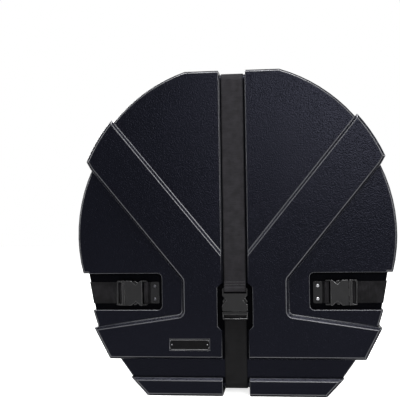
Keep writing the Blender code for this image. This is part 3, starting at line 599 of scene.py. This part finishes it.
def webbing_finish():
    """Charcoal nylon webbing: ribs with a fine twill and a firm edge, painted lighter higher up as if lit
    from above.
    """
    finish = Finish("nylon_webbing", Specular_IOR_Level=0.06)
    cloth = finish.attribute("weave", "Vector")
    across, along = finish.axis("X", cloth), finish.axis("Y", cloth)
    rib = along.wave(RIB_PITCH)
    twill = (along * 0.8 + across).wave(TWILL_PITCH)
    thread = across.wave(THREAD_PITCH)
    edge = finish.between(across.maths("ABSOLUTE", across), *WOVEN_EDGE)
    spot = finish.place()
    worn = finish.between(finish.noise(spot, 60.0, 4.0), 0.35, 0.65)
    # painted light: the webbing is lighter above these heights
    painted_light_above = finish.between(finish.axis("Z", spot), *PAINTED_LIGHT_HEIGHTS)
    threads = finish.node("ShaderNodeMapping", None, {"Vector": cloth, "Scale": (60, 420, 1)})
    slub = finish.between(finish.noise(threads, 1.0, 2.0), 0.30, 0.70)
    height = rib * (0.55 + twill * 0.45) + thread * 0.25 + edge * 0.3
    pale = (rib * 0.30 + twill * 0.20 + worn * 0.45 + slub * 0.4 - edge * 0.5).clamp()
    lower_tone = finish.blend(pale, (0.0004, 0.0004, 0.0005), (0.0028, 0.0027, 0.0030))
    painted_lit_tone = finish.blend(pale, (0.0016, 0.0015, 0.0018), (0.0100, 0.0095, 0.0110))
    colour = finish.blend(painted_light_above, lower_tone, painted_lit_tone)
    return finish.feed(Base_Color=colour, Roughness=0.62 + rib * 0.12,
                       Normal=finish.bump(height, 0.0003, 0.7))


nylon = webbing_finish()
print("made", nylon.name)

# %% [markdown]
# ## The routes of the straps
#
# A route is a list of corners, each with the radius of its bend at the middle of
# the webbing, and that middle lies 1.1 mm above what is under it. The webbing
# climbs over the end bar of a socket and over the middle rung of a plug. Only the
# corners are written: arcs and short straight steps are filled in.

# %% Draw a strap along its route
BEND_STEPS = 5
LONGEST_STEP = 0.009
WEB_CUTS = 7


def bend_at(x, y, z, radius=0):
    """A corner of a route with the radius of its bend."""
    return Vector((x, y, z)), radius


def rounded(route):
    """Points along a route of (corner, bend radius) pairs, with no step longer than 9 mm."""
    line = []
    for index, (corner, radius) in enumerate(route):
        bent = [corner]
        if radius:
            back = (route[index - 1][0] - corner).normalized()
            onward = (route[index + 1][0] - corner).normalized()
            half = back.angle(onward) / 2
            centre = corner + (back + onward).normalized() * radius / math.sin(half)
            reach = radius / math.tan(half)
            first = (corner + back * reach - centre).normalized()
            last = (corner + onward * reach - centre).normalized()
            bent = [centre + first.slerp(last, share / BEND_STEPS) * radius
                    for share in range(BEND_STEPS + 1)]
        for spot in bent:
            if line:
                gap = spot - line[-1]
                parts = max(1, math.ceil(gap.length / LONGEST_STEP))
                line += [line[-1] + gap * (part / parts) for part in range(1, parts)]
            line.append(spot)
    return line


def note_weave(piece, along, across):
    """Write where the selected vertices are on the cloth: across it and along it."""
    shape = bmesh.from_edit_mesh(piece.data)
    weave = shape.verts.layers.float_vector["weave"]
    for vertex in shape.verts:
        if vertex.select:
            vertex[weave] = (vertex.co.dot(across), along, 0)
    bmesh.update_edit_mesh(piece.data)


def strip(route, across):
    """A row of edges as wide as the webbing, extruded from point to point along a route."""
    line = rounded(route)
    turn = (0, math.pi / 2, 0) if across.z else (0, 0, 0)
    bpy.ops.mesh.primitive_plane_add(size=WEB_WIDTH, rotation=turn)
    piece = choose(bpy.context.object)
    bpy.ops.object.transform_apply(rotation=True)
    piece.data.attributes.new("weave", "FLOAT_VECTOR", "POINT")
    with editing(piece):
        pick(piece, "VERT", lambda vertex: vertex.co.y > 0)
        bpy.ops.mesh.delete(type="VERT")
        bpy.ops.mesh.select_all(action="SELECT")
        bpy.ops.mesh.subdivide(number_cuts=WEB_CUTS)
        bpy.ops.transform.translate(value=(0, WEB_WIDTH / 2, 0))
        note_weave(piece, 0, across)
        bpy.ops.transform.translate(value=line[0])
        along = 0
        for start, end in zip(line, line[1:]):
            bpy.ops.mesh.extrude_region_move(TRANSFORM_OT_translate={"value": end - start})
            along += (end - start).length
            note_weave(piece, along, across)
    return piece


def thickened(piece):
    """Give a strip the thickness of the webbing, and round its woven edges."""
    apply_modifier(piece, "SOLIDIFY", thickness=WEB_THICK, offset=0, use_even_offset=True)
    with editing(piece):
        face_outward()
        pick(piece, "EDGE", lambda edge: sharp(edge, 0, 70))
        round_edges(WEB_ROUND, 2)
    shade(piece, 50)


def stretch_along(piece, name, node, flap, start, end):
    """Settle a strap that stays on the lid at one end and goes with a flap at the other."""
    piece.name = piece.data.name = name
    piece.data.materials.append(nylon)
    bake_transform(piece, "lid", flap, start=start, end=end)
    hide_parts(node)


ACROSS_X, ACROSS_Z = Vector((1, 0, 0)), Vector((0, 0, 1))
print("a strap has", WEB_CUTS + 1, "strips across it")

# %% [markdown]
# ## How the webbing passes a buckle
#
# Both halves of a buckle hold the webbing in the same way: it comes up through a
# slot, over a bar, and down. At a socket the sewn tail lies on top of the strap.
# Distances are along the pull, from the mouth of the socket, and up from the
# floor that the buckle lies on.

# %% Hooks
WEB_LOW, TAIL_LOW = 0.0011, 0.0030
OVER_BAR, OVER_RUNG = 0.0101, 0.0071
NO_BEND, TIGHT_BEND, SLOT_BEND = 0, 0.0011, 0.0022
MIDDLE_TAIL, SIDE_TAIL = 0.013, 0.0015


def socket_hook(tail):
    """Down from the tail over a socket's bar: along, up and bend radius."""
    return [(0.0553 + tail, TAIL_LOW, NO_BEND), (0.0553, TAIL_LOW, SLOT_BEND),
            (0.0523, OVER_BAR, TIGHT_BEND), (0.04375, OVER_BAR, TIGHT_BEND),
            (0.04375, WEB_LOW, SLOT_BEND)]


PLUG_HOOK = [(-0.0032, WEB_LOW, NO_BEND), (-0.0097, WEB_LOW, TIGHT_BEND),
             (-0.0097, OVER_RUNG, TIGHT_BEND), (-0.0150, OVER_RUNG, TIGHT_BEND),
             (-0.0150, WEB_LOW, SLOT_BEND)]
print("hooks for", len(socket_hook(0)), "and", len(PLUG_HOOK), "corners")

# %% [markdown]
# ## The middle strap
#
# One strap runs round the whole case in its channel. The seam crosses it, so it
# is drawn as three lengths, and the loop is open at the seam.

# %% Middle strap
UNDER_SOCKET = 0.0003
HALF_WEB = WEB_THICK / 2
CHANNEL_BEND = 0.0141
STRETCH_TOP, STRETCH_FOOT = 0.70, 0.30
middle_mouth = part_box("center_socket")[0].z
channel_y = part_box("center_socket")[1].y + UNDER_SOCKET
upper_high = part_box("center_strap_upper")[1]
lower_low, lower_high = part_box("center_strap_lower")
rear_low, rear_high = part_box("center_strap_rear")


def middle_route(hook):
    return [bend_at(0, channel_y - up, middle_mouth + along, bend) for along, up, bend in hook]


front_y = channel_y - WEB_LOW
top_z = upper_high.z - HALF_WEB
foot_z = lower_low.z + HALF_WEB
back_y = rear_high.y - HALF_WEB
upper = strip(middle_route(socket_hook(MIDDLE_TAIL)) + [
    bend_at(0, front_y, top_z, CHANNEL_BEND), bend_at(0, upper_high.y, top_z)], ACROSS_X)
lower = strip(middle_route(PLUG_HOOK) + [
    bend_at(0, front_y, foot_z, CHANNEL_BEND), bend_at(0, lower_high.y, foot_z)], ACROSS_X)
rear = strip([
    bend_at(0, rear_low.y, top_z), bend_at(0, back_y, top_z, CHANNEL_BEND),
    bend_at(0, back_y, foot_z, CHANNEL_BEND), bend_at(0, rear_low.y, foot_z)], ACROSS_X)
for piece in (upper, lower, rear):
    thickened(piece)
settle(lower, "middle_strap_lower", nylon, "webbing", "center_strap_lower")
settle(rear, "middle_strap_rear", nylon, "webbing", "center_strap_rear")
stretch_along(upper, "middle_strap_upper", "center_strap_upper", "center_flap",
              (0, front_y, STRETCH_TOP), (0, front_y, STRETCH_FOOT))
print("middle strap:", [triangles(piece) for piece in (upper, lower, rear)], "triangles")

# %% [markdown]
# ## The side straps
#
# At each side a short strap comes round from the base, turns the corner of the
# case and ends in the plug. A shorter tab holds the socket and is riveted to the
# lid. The side wall leans by ten degrees at that height, so the part of the strap
# on it leans too: every point of it is moved sideways by its height.

# %% Side straps
CORNER_X = 0.33701
CORNER_BEND = 0.0025
LEAN_START = 0.030
WALL_LEAN = 0.17858
STRETCH_SEAM, STRETCH_CORNER = -0.171, -0.245
side_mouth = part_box("right_socket")[1].x
recess_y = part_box("right_socket")[1].y + UNDER_SOCKET
strap_z = (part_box("right_socket_tab")[0].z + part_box("right_socket_tab")[1].z) / 2


def side_route(side, hook):
    return [bend_at(side * (side_mouth - along), recess_y - up, strap_z, bend)
            for along, up, bend in hook]


def lean(piece, side):
    """Move what lies on the wall sideways with its height, and what is before the bend in part."""
    for vertex in piece.data.vertices:
        reach = abs(vertex.co.x) - (CORNER_X - LEAN_START)
        share = min(1, max(0, reach / (LEAN_START - CORNER_BEND)))
        vertex.co.x += side * WALL_LEAN * (vertex.co.z - strap_z) * share


for side, name in ((1, "right"), (-1, "left")):
    seam_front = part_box(name + "_strap_front")[1].y
    seam_rear, rear_end = (corner.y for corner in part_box(name + "_strap_rear"))
    tab_end = min(abs(corner.x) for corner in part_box(name + "_socket_tab"))
    wall = side * CORNER_X
    front = strip(side_route(side, PLUG_HOOK) + [
        bend_at(wall, recess_y - WEB_LOW, strap_z, CORNER_BEND),
        bend_at(wall, seam_front, strap_z)], ACROSS_Z)
    rear = strip([bend_at(wall, seam_rear, strap_z), bend_at(wall, rear_end, strap_z)], ACROSS_Z)
    tab = strip(side_route(side, socket_hook(SIDE_TAIL)) + [
        bend_at(side * tab_end, recess_y - WEB_LOW, strap_z)], ACROSS_Z)
    for piece in (front, rear):
        lean(piece, side)
    for piece in (front, rear, tab):
        thickened(piece)
    settle(rear, name + "_side_strap_rear", nylon, "webbing", name + "_strap_rear")
    settle(tab, name + "_side_tab", nylon, "webbing", name + "_socket_tab")
    stretch_along(front, name + "_side_strap_front", name + "_strap_front", name + "_flap",
                  (0, STRETCH_SEAM, 0), (0, STRETCH_CORNER, 0))
    print(name, "side:", [triangles(piece) for piece in (front, rear, tab)], "triangles")

# %% [markdown]
# ## Stitching on the sewn tail
#
# The tail above the middle socket is sewn down in two rows with thick black
# thread. One stitch is a small sphere drawn out into a capsule and sunk into the
# cloth, and the rows are copies of it.

# %% Stitches
STITCH_PITCH = 0.0032
STITCH_RADIUS = 0.00045
STITCH_LENGTH = 2.6
STITCH_SUNK = 0.00015
ROW_HALF = 0.022
ROWS = (0.0590, 0.0655)


def thread_finish():
    finish = Finish("nylon_thread", Specular_IOR_Level=0.4)
    ply = finish.noise(finish.place(), 1800.0, 2.0)
    colour = finish.blend(ply, (0.016, 0.016, 0.017), (0.040, 0.040, 0.042))
    return finish.feed(Base_Color=colour, Roughness=0.45 + ply * 0.2,
                       Normal=finish.bump(ply, 0.0002, 0.5))


thread = thread_finish()
tail_face = channel_y - TAIL_LOW - HALF_WEB
each = range(round(2 * ROW_HALF / STITCH_PITCH) + 1)
stitch = [(ROW_HALF - index * STITCH_PITCH, height) for height in ROWS for index in each]
bpy.ops.mesh.primitive_uv_sphere_add(segments=8, ring_count=6, radius=STITCH_RADIUS)
stitches = bpy.context.object
with editing(stitches, "SELECT"):
    bpy.ops.transform.resize(value=(STITCH_LENGTH, 1, 1))
    bpy.ops.transform.translate(value=(0, tail_face - STITCH_SUNK, 0))
    last = None
    for across, along in stitch:
        here = Vector((across, 0, middle_mouth + along))
        if last:
            bpy.ops.mesh.duplicate_move(TRANSFORM_OT_translate={"value": here - last})
        else:
            bpy.ops.transform.translate(value=here)
        last = here
shade(stitches, 60)
settle(stitches, "middle_tail_stitches", thread, "webbing", body="center_flap")
print(len(stitch), "stitches")

# %% [markdown]
# ## Side release buckles
#
# The three buckles are alike: a socket with a window in each side, a plug with
# three rungs, and two arms that spring out into the windows. The CAD solids have
# the true openings with sharp edges. Moulded acetal is rounder, so each copy gets
# wide rounds on the corners of its plan, then a fine round on its long outer edges.

# %% Buckles
PLAN_NEAR = 0.0005
PLAN_EDGE = 0.003


def buckle_finish():
    """Satin black acetal, a little paler on its rounded edges: worn by straps and fingers, and a painted
    highlight.
    """
    finish = Finish("buckle_acetal", Specular_IOR_Level=0.11, Coat_Roughness=0.20, Coat_IOR=1.9)
    spot = finish.place()
    grain = finish.noise(spot, 1400.0, 3.0)
    patch = finish.noise(spot, 60.0, 3.0)
    rub_and_highlight = finish.attribute("rub_and_highlight")
    # paler rounded edges: partly wear, partly a painted highlight
    worn = rub_and_highlight * finish.between(patch, 0.3, 0.6) * 0.7
    body = finish.blend(patch, (0.0022, 0.0022, 0.0024), (0.0048, 0.0048, 0.0052))
    colour = finish.blend(worn, body, (0.045, 0.045, 0.047))
    return finish.feed(Base_Color=colour, Roughness=0.36 + grain * 0.10 + patch * 0.08 - rub_and_highlight * 0.08,
                       Coat_Weight=rub_and_highlight * 1.0, Normal=finish.bump(grain, 0.00012, 0.35))


acetal = buckle_finish()
OUTWARD = Vector((0, -1, 0))


def plan_corner(edge, up, low, high):
    """A convex edge that runs along up, at an outer corner of the box from low to high."""
    run = edge.verts[0].co - edge.verts[1].co
    if not edge.is_convex or not sharp(edge, PLAN_EDGE) or abs(run.dot(up)) < 0.98 * run.length:
        return False
    spot = middle(edge)
    return all(min(spot[axis] - low[axis], high[axis] - spot[axis]) < PLAN_NEAR
               for axis in range(3) if not up[axis])


def moulded_copy(node, up, corner, fine, least):
    """A CAD copy with its plan corners rounded, then its outer edges longer than least."""
    piece = merged_copy(node)
    low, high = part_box(node)
    piece.data.attributes.new("rub_and_highlight", "FLOAT", "POINT")
    with editing(piece):
        if pick(piece, "EDGE", lambda edge: plan_corner(edge, up, low, high)):
            round_edges(corner, 5)
        pick(piece, "EDGE", lambda edge: edge.is_convex and sharp(edge, least, 30))
        round_edges(fine, 2)
        mark_rub_and_highlight(piece, inside_bevel)
        tidied()
    return shade(piece)


BUCKLES = {"center": ("left", "right"), "right": ("upper", "lower"), "left": ("upper", "lower")}
for place in BUCKLES:
    for node in (place + "_socket", place + "_plug"):
        piece = moulded_copy(node, OUTWARD, corner=0.0022, fine=0.0006, least=0.004)
        settle(piece, node + "_moulding", acetal, "buckle", node)
for place, sides in BUCKLES.items():
    for side in sides:
        node = place + "_prong_" + side
        piece = moulded_copy(node, OUTWARD, corner=0.0008, fine=0.0005, least=0.0016)
        settle(piece, node + "_arm", acetal, "buckle", node)
print("three buckles,", triangles(piece), "triangles in the last arm")

# %% [markdown]
# ## Turned pieces
#
# Rivets, screw heads, pins and the handle's grip are all round. One helper turns
# them: a circle is extruded ring by ring, and each new ring is moved and scaled
# to the next point of a profile.

# %% Turn on a lathe
def turned(profile, sides=24, bored=False):
    """A solid of revolution about Z from (radius, height) points, closed or bored through."""
    radius, height = profile[0]
    bpy.ops.mesh.primitive_circle_add(vertices=sides, radius=radius, fill_type="NOTHING")
    piece = choose(bpy.context.object)
    with editing(piece, "SELECT"):
        if not bored:
            bpy.ops.mesh.edge_face_add()
            pick(piece, "FACE", lambda face: True)
        bpy.ops.transform.translate(value=(0, 0, height))
        for next_radius, next_height in profile[1:]:
            rise = (0, 0, next_height - height)
            bpy.ops.mesh.extrude_region_move(TRANSFORM_OT_translate={"value": rise})
            scale = next_radius / radius
            bpy.ops.transform.resize(value=(scale, scale, 1), center_override=(0, 0, next_height))
            radius, height = next_radius, next_height
        if bored:
            pick(piece, "EDGE", lambda edge: edge.is_boundary)
            bpy.ops.mesh.bridge_edge_loops()
        face_outward()
    return piece


def put(piece, spot, outward, turn=0.0):
    """Stand a piece that was made along Z on a spot, facing outward."""
    facing = outward.to_track_quat("Z", "Y").to_matrix().to_4x4()
    piece.matrix_world = Matrix.Translation(spot) @ facing @ Matrix.Rotation(turn, 4, "Z")
    return piece


def head_place(node, outward):
    """The outermost point on the axis of a round CAD solid."""
    spots = [vertex.co for vertex in nodes[node].data.vertices]
    centre = sum(spots, Vector()) / len(spots)
    return centre + outward * (max(spot.dot(outward) for spot in spots) - centre.dot(outward))


def set_in(master, node, outward, finish, turn=0.0):
    """Put a copy of a turned piece, with its own mesh, in the place of a round CAD solid."""
    copy = put(added(node, master.data.copy()), head_place(node, outward), outward, turn)
    settle(copy, node + "_turned", finish, "rivet", node)


print("the lathe is ready")

# %% [markdown]
# ## Anchor plates and rivets
#
# Six black steel plates press the webbing against the shells, with two rivets
# each: a domed nickelled head with a small dimple, on a shank that goes through
# the shell. The two at the left of the lid get a much darker steel.

# %% Plate and rivet finishes
def steel_finish(name, dark, pale, rough, scale):
    """Metal with faint scratches and a dull bloom."""
    finish = Finish(name)
    finish.shader.inputs["Metallic"].default_value = 1.0
    spot = finish.place()
    bloom = finish.noise(spot, scale, 4.0)
    scratch = finish.noise(finish.place((30, 900, 30)), 3.0, 4.0)
    colour = finish.blend(bloom, dark, pale)
    return finish.feed(Base_Color=colour, Roughness=rough + bloom * 0.15 + scratch * 0.08,
                       Normal=finish.bump(scratch, 0.0001, 0.25))


def painted_plate_finish():
    """Black powder coat with a fine orange peel, worn on the edges."""
    finish = Finish("black_powder_coat", Specular_IOR_Level=0.08, Coat_Roughness=0.25)
    spot = finish.place()
    peel = finish.noise(spot, 900.0, 2.0)
    patch = finish.noise(spot, 90.0, 4.0)
    rub_and_highlight = finish.attribute("rub_and_highlight")
    worn = rub_and_highlight * finish.between(patch, 0.45, 0.65)
    colour = finish.blend(worn, (0.0045, 0.0045, 0.0050), (0.06, 0.06, 0.06))
    return finish.feed(Base_Color=colour, Roughness=0.40 + peel * 0.15, Coat_Weight=rub_and_highlight * 0.3,
                       Normal=finish.bump(peel, 0.0002, 0.3))


nickel = steel_finish("nickelled_steel", (0.16, 0.16, 0.17), (0.30, 0.30, 0.31),
                      rough=0.24, scale=220.0)
darker_steel = steel_finish("dark_rivet_steel", (0.020, 0.020, 0.022), (0.055, 0.055, 0.060),
                         rough=0.34, scale=220.0)
powder_coat = painted_plate_finish()
print("made", nickel.name, "and", powder_coat.name)

# %% Plates
THIN_LOW, THIN_HIGH = 0.0012, 0.0020
leaning = math.atan(WALL_LEAN)
OUT = {"top": Vector((0, 0, 1)), "bottom": Vector((0, 0, -1)), "lid": OUTWARD,
       "right": Vector((math.cos(leaning), 0, -math.sin(leaning))),
       "left": Vector((-math.cos(leaning), 0, -math.sin(leaning)))}
PLATES = {"top_strap_anchor": "top", "bottom_strap_anchor": "bottom",
          "right_base_anchor": "right", "left_base_anchor": "left",
          "right_lid_anchor": "lid", "left_lid_anchor": "lid"}


def round_plate(piece, way, corner, segments, fine):
    """Round the corners of a thin plate that faces one way, and then all its sharp edges."""
    def through(edge):
        run = (edge.verts[0].co - edge.verts[1].co).normalized()
        return (edge.is_convex and sharp(edge, THIN_LOW) and edge.calc_length() < THIN_HIGH
                and abs(run.dot(way)) > 0.9)

    pick(piece, "EDGE", through)
    round_edges(corner, segments)
    pick(piece, "EDGE", lambda edge: sharp(edge, 0, 50))
    round_edges(fine, 2)


for name, way in PLATES.items():
    plate = merged_copy(name + "_plate")
    plate.data.attributes.new("rub_and_highlight", "FLOAT", "POINT")
    with editing(plate):
        round_plate(plate, OUT[way], corner=0.004, segments=5, fine=0.0003)
        mark_rub_and_highlight(plate, inside_bevel)
    shade(plate)
    settle(plate, name + "_press_plate", powder_coat, "plate", name + "_plate")
print(len(PLATES), "plates,", triangles(plate), "triangles in the last")

# %% Rivets
RIVET_PROFILE = [(0.0020, -0.0100), (0.0020, -0.0020), (0.0042, -0.0020), (0.0042, -0.0017),
                 (0.0039, -0.0011), (0.0033, -0.0006), (0.0025, -0.0002), (0.0018, 0.0),
                 (0.0013, -0.0001), (0.0010, -0.0005), (0.0006, -0.0007)]
rivet = turned(RIVET_PROFILE)
shade(rivet, 40)
rivet.name = "rivet_master"
for name, way in PLATES.items():
    # the two rivets at the left of the lid are much darker than the others
    metal = darker_steel if name == "left_lid_anchor" else nickel
    for number in ("1", "2"):
        set_in(rivet, name + "_rivet_" + number, OUT[way], metal)
print(2 * len(PLATES), "rivets,", triangles(rivet), "triangles each")
bpy.data.objects.remove(rivet)

# %% [markdown]
# ## The bare nameplate
#
# A sunk plate low on the lid carries nothing. It is a thin black plastic label
# with a pale line inset round its border and a pin at each end. The line is a
# band between two insets of the front face, with a material of its own.

# %% Nameplate
LINE_START, LINE_WIDTH = 0.0011, 0.0006
BAND_LOW, BAND_HIGH = 0.0012, 0.0022
WIDE_FACE = 0.0001


def grained_finish(name, dark, pale, shine, rough, cloudy, grain, patch, relief, strength):
    """Plastic or rubber with a fine grain, whose tone and sheen change from patch to patch."""
    finish = Finish(name, Specular_IOR_Level=shine)
    spot = finish.place()
    fine = finish.noise(spot, grain, 3.0)
    cloud = finish.noise(spot, patch, 3.0)
    return finish.feed(Base_Color=finish.blend(cloud, dark, pale),
                       Roughness=rough + cloud * cloudy, Normal=finish.bump(fine, relief, strength))


def label_finish(name, dark, pale, rough):
    return grained_finish(name, dark, pale, shine=0.03, rough=rough, cloudy=0.12,
                          grain=1200.0, patch=40.0, relief=0.0001, strength=0.3)


label_black = label_finish("label_black", (0.0010, 0.0010, 0.0012), (0.0022, 0.0022, 0.0024), 0.42)
label_line = label_finish("label_line", (0.11, 0.11, 0.115), (0.18, 0.18, 0.185), 0.40)
label_low, label_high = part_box("badge_plate")


def near_border(face):
    """A face of the thin band that lies between 1.2 and 2.2 mm inside the nameplate's edge."""
    spots = [vertex.co for vertex in face.verts]
    inside = [min(spot.x - label_low.x, label_high.x - spot.x,
                  spot.z - label_low.z, label_high.z - spot.z) for spot in spots]
    return min(inside) > BAND_LOW and max(inside) < BAND_HIGH


plate = merged_copy("badge_plate")
settle(plate, "blank_nameplate", label_black, "badge", "badge_plate")
plate.data.materials.append(label_line)
with editing(plate):
    round_plate(plate, OUTWARD, corner=0.0020, segments=4, fine=0.00025)
    pick(plate, "FACE", lambda face: faces_front(face) and face.calc_area() > WIDE_FACE)
    bpy.ops.mesh.inset(thickness=LINE_START, use_outset=False)
    bpy.ops.mesh.inset(thickness=LINE_WIDTH)
    line = pick(plate, "FACE", lambda face: faces_front(face) and near_border(face))
    plate.active_material_index = 1
    bpy.ops.object.material_slot_assign()
shade(plate)
print("a line of", line, "faces,", triangles(plate), "triangles")

# %% Nameplate pins
pin = turned([(0.0012, -0.0015), (0.0012, -0.0002), (0.0010, 0.0), (0.0004, 0.00005)], 16)
shade(pin, 40)
for node in ("badge_pin_left", "badge_pin_right"):
    set_in(pin, node, OUTWARD, nickel)
print("two pins,", triangles(pin), "triangles each")
bpy.data.objects.remove(pin)

# %% [markdown]
# ## The carrying handle
#
# A steel bail swings between two lugged brackets on top of the base. The bail is
# a bent rod: a curve with a round bevel, turned into a mesh. The grip is a ribbed
# rubber tube over it, the brackets are moulded like the buckles, and each is held
# by two screws with a round hollow in the head.

# %% Bail
BAIL_RADIUS = 0.004
bail_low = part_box("handle_bail")[0]
pivot = Vector((0, bail_low.y + BAIL_RADIUS, bail_low.z + BAIL_RADIUS))
bail_corners = [((-0.0817, 0), 0), ((-0.062, 0), 0.006), ((-0.062, 0.050), 0.012),
                ((0.062, 0.050), 0.012), ((0.062, 0), 0.006), ((0.0817, 0), 0)]
line = rounded([(pivot + Vector((*flat, 0)), bend) for flat, bend in bail_corners])
rod = bpy.data.curves.new("bail_rod", "CURVE")
rod.dimensions = "3D"
rod.bevel_depth = BAIL_RADIUS
rod.bevel_resolution = 6
rod.use_fill_caps = True
spline = rod.splines.new("POLY")
spline.points.add(len(line) - 1)
for point, spot in zip(spline.points, line):
    point.co = (*spot, 1)
choose(added("bail_rod", rod))
bpy.ops.object.convert(target="MESH")
bail = bpy.context.object
with editing(bail, "SELECT"):
    bpy.ops.mesh.remove_doubles(threshold=MERGE)
    face_outward()
shade(bail, 40)
zinc = steel_finish("zinc_plated_rod", (0.30, 0.30, 0.31), (0.46, 0.46, 0.46),
                    rough=0.34, scale=120.0)
settle(bail, "handle_bail_rod", zinc, "bail", "handle_bail")
print("bail,", triangles(bail), "triangles")

# %% Grip
GRIP_HALF, GRIP_RADIUS, GRIP_BORE = 0.046, 0.011, 0.0043
GRIP_CHAMFER, GRIP_END = 0.002, 0.005
RIBS, RIB_DEPTH = 14, 0.0008
rubber = grained_finish("grip_rubber", (0.010, 0.010, 0.0105), (0.022, 0.022, 0.023),
                        shine=0.3, rough=0.62, cloudy=0.15,
                        grain=1600.0, patch=50.0, relief=0.0002, strength=0.5)
outline = [(GRIP_BORE, -GRIP_HALF), (GRIP_RADIUS - GRIP_CHAMFER, -GRIP_HALF),
           (GRIP_RADIUS, -GRIP_HALF + GRIP_CHAMFER), (GRIP_RADIUS, -GRIP_HALF + GRIP_END)]
rib = (2 * GRIP_HALF - 2 * GRIP_END) / RIBS
groove = GRIP_RADIUS - RIB_DEPTH
for index in range(RIBS):
    start = -GRIP_HALF + GRIP_END + index * rib
    outline += [(groove, start + rib * 0.12), (groove, start + rib * 0.32),
                (GRIP_RADIUS, start + rib * 0.45), (GRIP_RADIUS, start + rib)]
outline += [(GRIP_RADIUS, GRIP_HALF - GRIP_CHAMFER), (GRIP_RADIUS - GRIP_CHAMFER, GRIP_HALF),
            (GRIP_BORE, GRIP_HALF)]
grip = turned(outline, 32, bored=True)
shade(grip, 40)
grip_low, grip_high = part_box("handle_grip")
put(grip, (grip_low + grip_high) / 2, Vector((1, 0, 0)))
settle(grip, "handle_grip_rubber", rubber, "grip", "handle_grip")
print("grip,", triangles(grip), "triangles")

# %% Brackets and screws
SCREW_PROFILE = [(0.0022, -0.0113), (0.0022, -0.0030), (0.0045, -0.0030), (0.0045, -0.0014),
                 (0.0041, -0.0006), (0.0033, -0.0001), (0.0024, 0.0)]
HOLLOW_FACE = 0.000010
HOLLOW_RIM, HOLLOW_DEPTH = 0.0006, 0.0007
SCREW_TURN = 0.4
for side in ("left", "right"):
    node = "handle_bracket_" + side
    bracket = moulded_copy(node, OUT["top"], corner=0.004, fine=0.0008, least=0.0016)
    settle(bracket, node + "_moulding", acetal, "bracket", node)
screw = turned(SCREW_PROFILE)
screw.name = "screw_master"
with editing(screw):
    pick(screw, "FACE", lambda face: face.normal.z > 0.9 and face.calc_area() > HOLLOW_FACE)
    bpy.ops.mesh.inset(thickness=HOLLOW_RIM)
    bpy.ops.transform.translate(value=(0, 0, -HOLLOW_DEPTH))
shade(screw, 40)
for side in ("left", "right"):
    for number in (1, 2):
        node = "handle_screw_%s_%d" % (side, number)
        set_in(screw, node, OUT["top"], nickel, SCREW_TURN * number)
bpy.data.objects.remove(screw)
print("two brackets and four screws")

# %% [markdown]
# ## Studio light and a white floor
#
# The case stands on white. The world is white where the camera, a reflection or
# glass looks at it, and a dim grey as a source of light. A wide soft lamp above
# lights the edges that face up, one on each side draws the thin lines along the
# channel and the slanted bands, and one behind the camera, above it and to its
# right, gives the right half its sheen. The fifth lights the back.

# %% World
DIM_LIGHT = 0.25
world = bpy.data.worlds.new("studio_world")
bpy.context.scene.world = world
world.use_nodes = True
tree = world.node_tree
background = tree.nodes["Background"]
rays = tree.nodes.new("ShaderNodeLightPath")
seen = rays.outputs["Is Camera Ray"]
for kind in ("Is Glossy Ray", "Is Transmission Ray"):
    either = tree.nodes.new("ShaderNodeMath")
    either.operation = "MAXIMUM"
    tree.links.new(seen, either.inputs[0])
    tree.links.new(rays.outputs[kind], either.inputs[1])
    seen = either.outputs[0]
strength = tree.nodes.new("ShaderNodeMapRange")
strength.inputs["To Min"].default_value = DIM_LIGHT
strength.inputs["To Max"].default_value = 1.0
tree.links.new(seen, strength.inputs["Value"])
tree.links.new(strength.outputs["Result"], background.inputs["Strength"])
background.inputs["Color"].default_value = (1, 1, 1, 1)
bpy.context.scene.view_settings.view_transform = "Standard"
print("white world")

# %% Lamps
def lamp(name, place, aim, width, height, power):
    """A soft rectangular lamp that faces a point."""
    bpy.ops.object.light_add(type="AREA", location=place)
    light = bpy.context.object
    light.name = name
    light.data.shape = "RECTANGLE"
    light.data.size = width
    light.data.size_y = height
    light.data.energy = power
    light.rotation_euler = (Vector(aim) - Vector(place)).to_track_quat("-Z", "Y").to_euler()


lamp("lamp_above", (0.0, -0.9, 2.2), (0.0, -0.2, 0.4), 1.8, 0.6, 105)
lamp("lamp_left", (-2.2, -0.6, 1.25), (0.0, -0.2, 0.4), 0.4, 1.8, 45)
lamp("lamp_right", (2.2, -0.6, 1.25), (0.0, -0.2, 0.4), 0.4, 1.8, 55)
lamp("lamp_front", (0.64, -3.0, 1.25), (0.2, -0.2, 0.5), 1.4, 1.0, 78)
lamp("lamp_back", (-1.2, 3.0, 1.5), (0.0, 0.2, 0.4), 1.6, 1.0, 70)
print("five lamps")

# %% Floor
FLOOR_SIZE = 12
bpy.ops.mesh.primitive_plane_add(size=FLOOR_SIZE)
floor = bpy.context.object
floor.name = "studio_floor"
paper = Finish("white_floor", Roughness=0.9, Specular_IOR_Level=0.1, Base_Color=(0.80, 0.80, 0.80, 1.0),
               Emission_Strength=0.75)
looked_at = paper.node("ShaderNodeLightPath", output="Is Camera Ray")
glow = paper.blend(looked_at, (0, 0, 0), (1, 1, 1))
floor.data.materials.append(paper.feed(Emission_Color=glow))
print("a white floor")
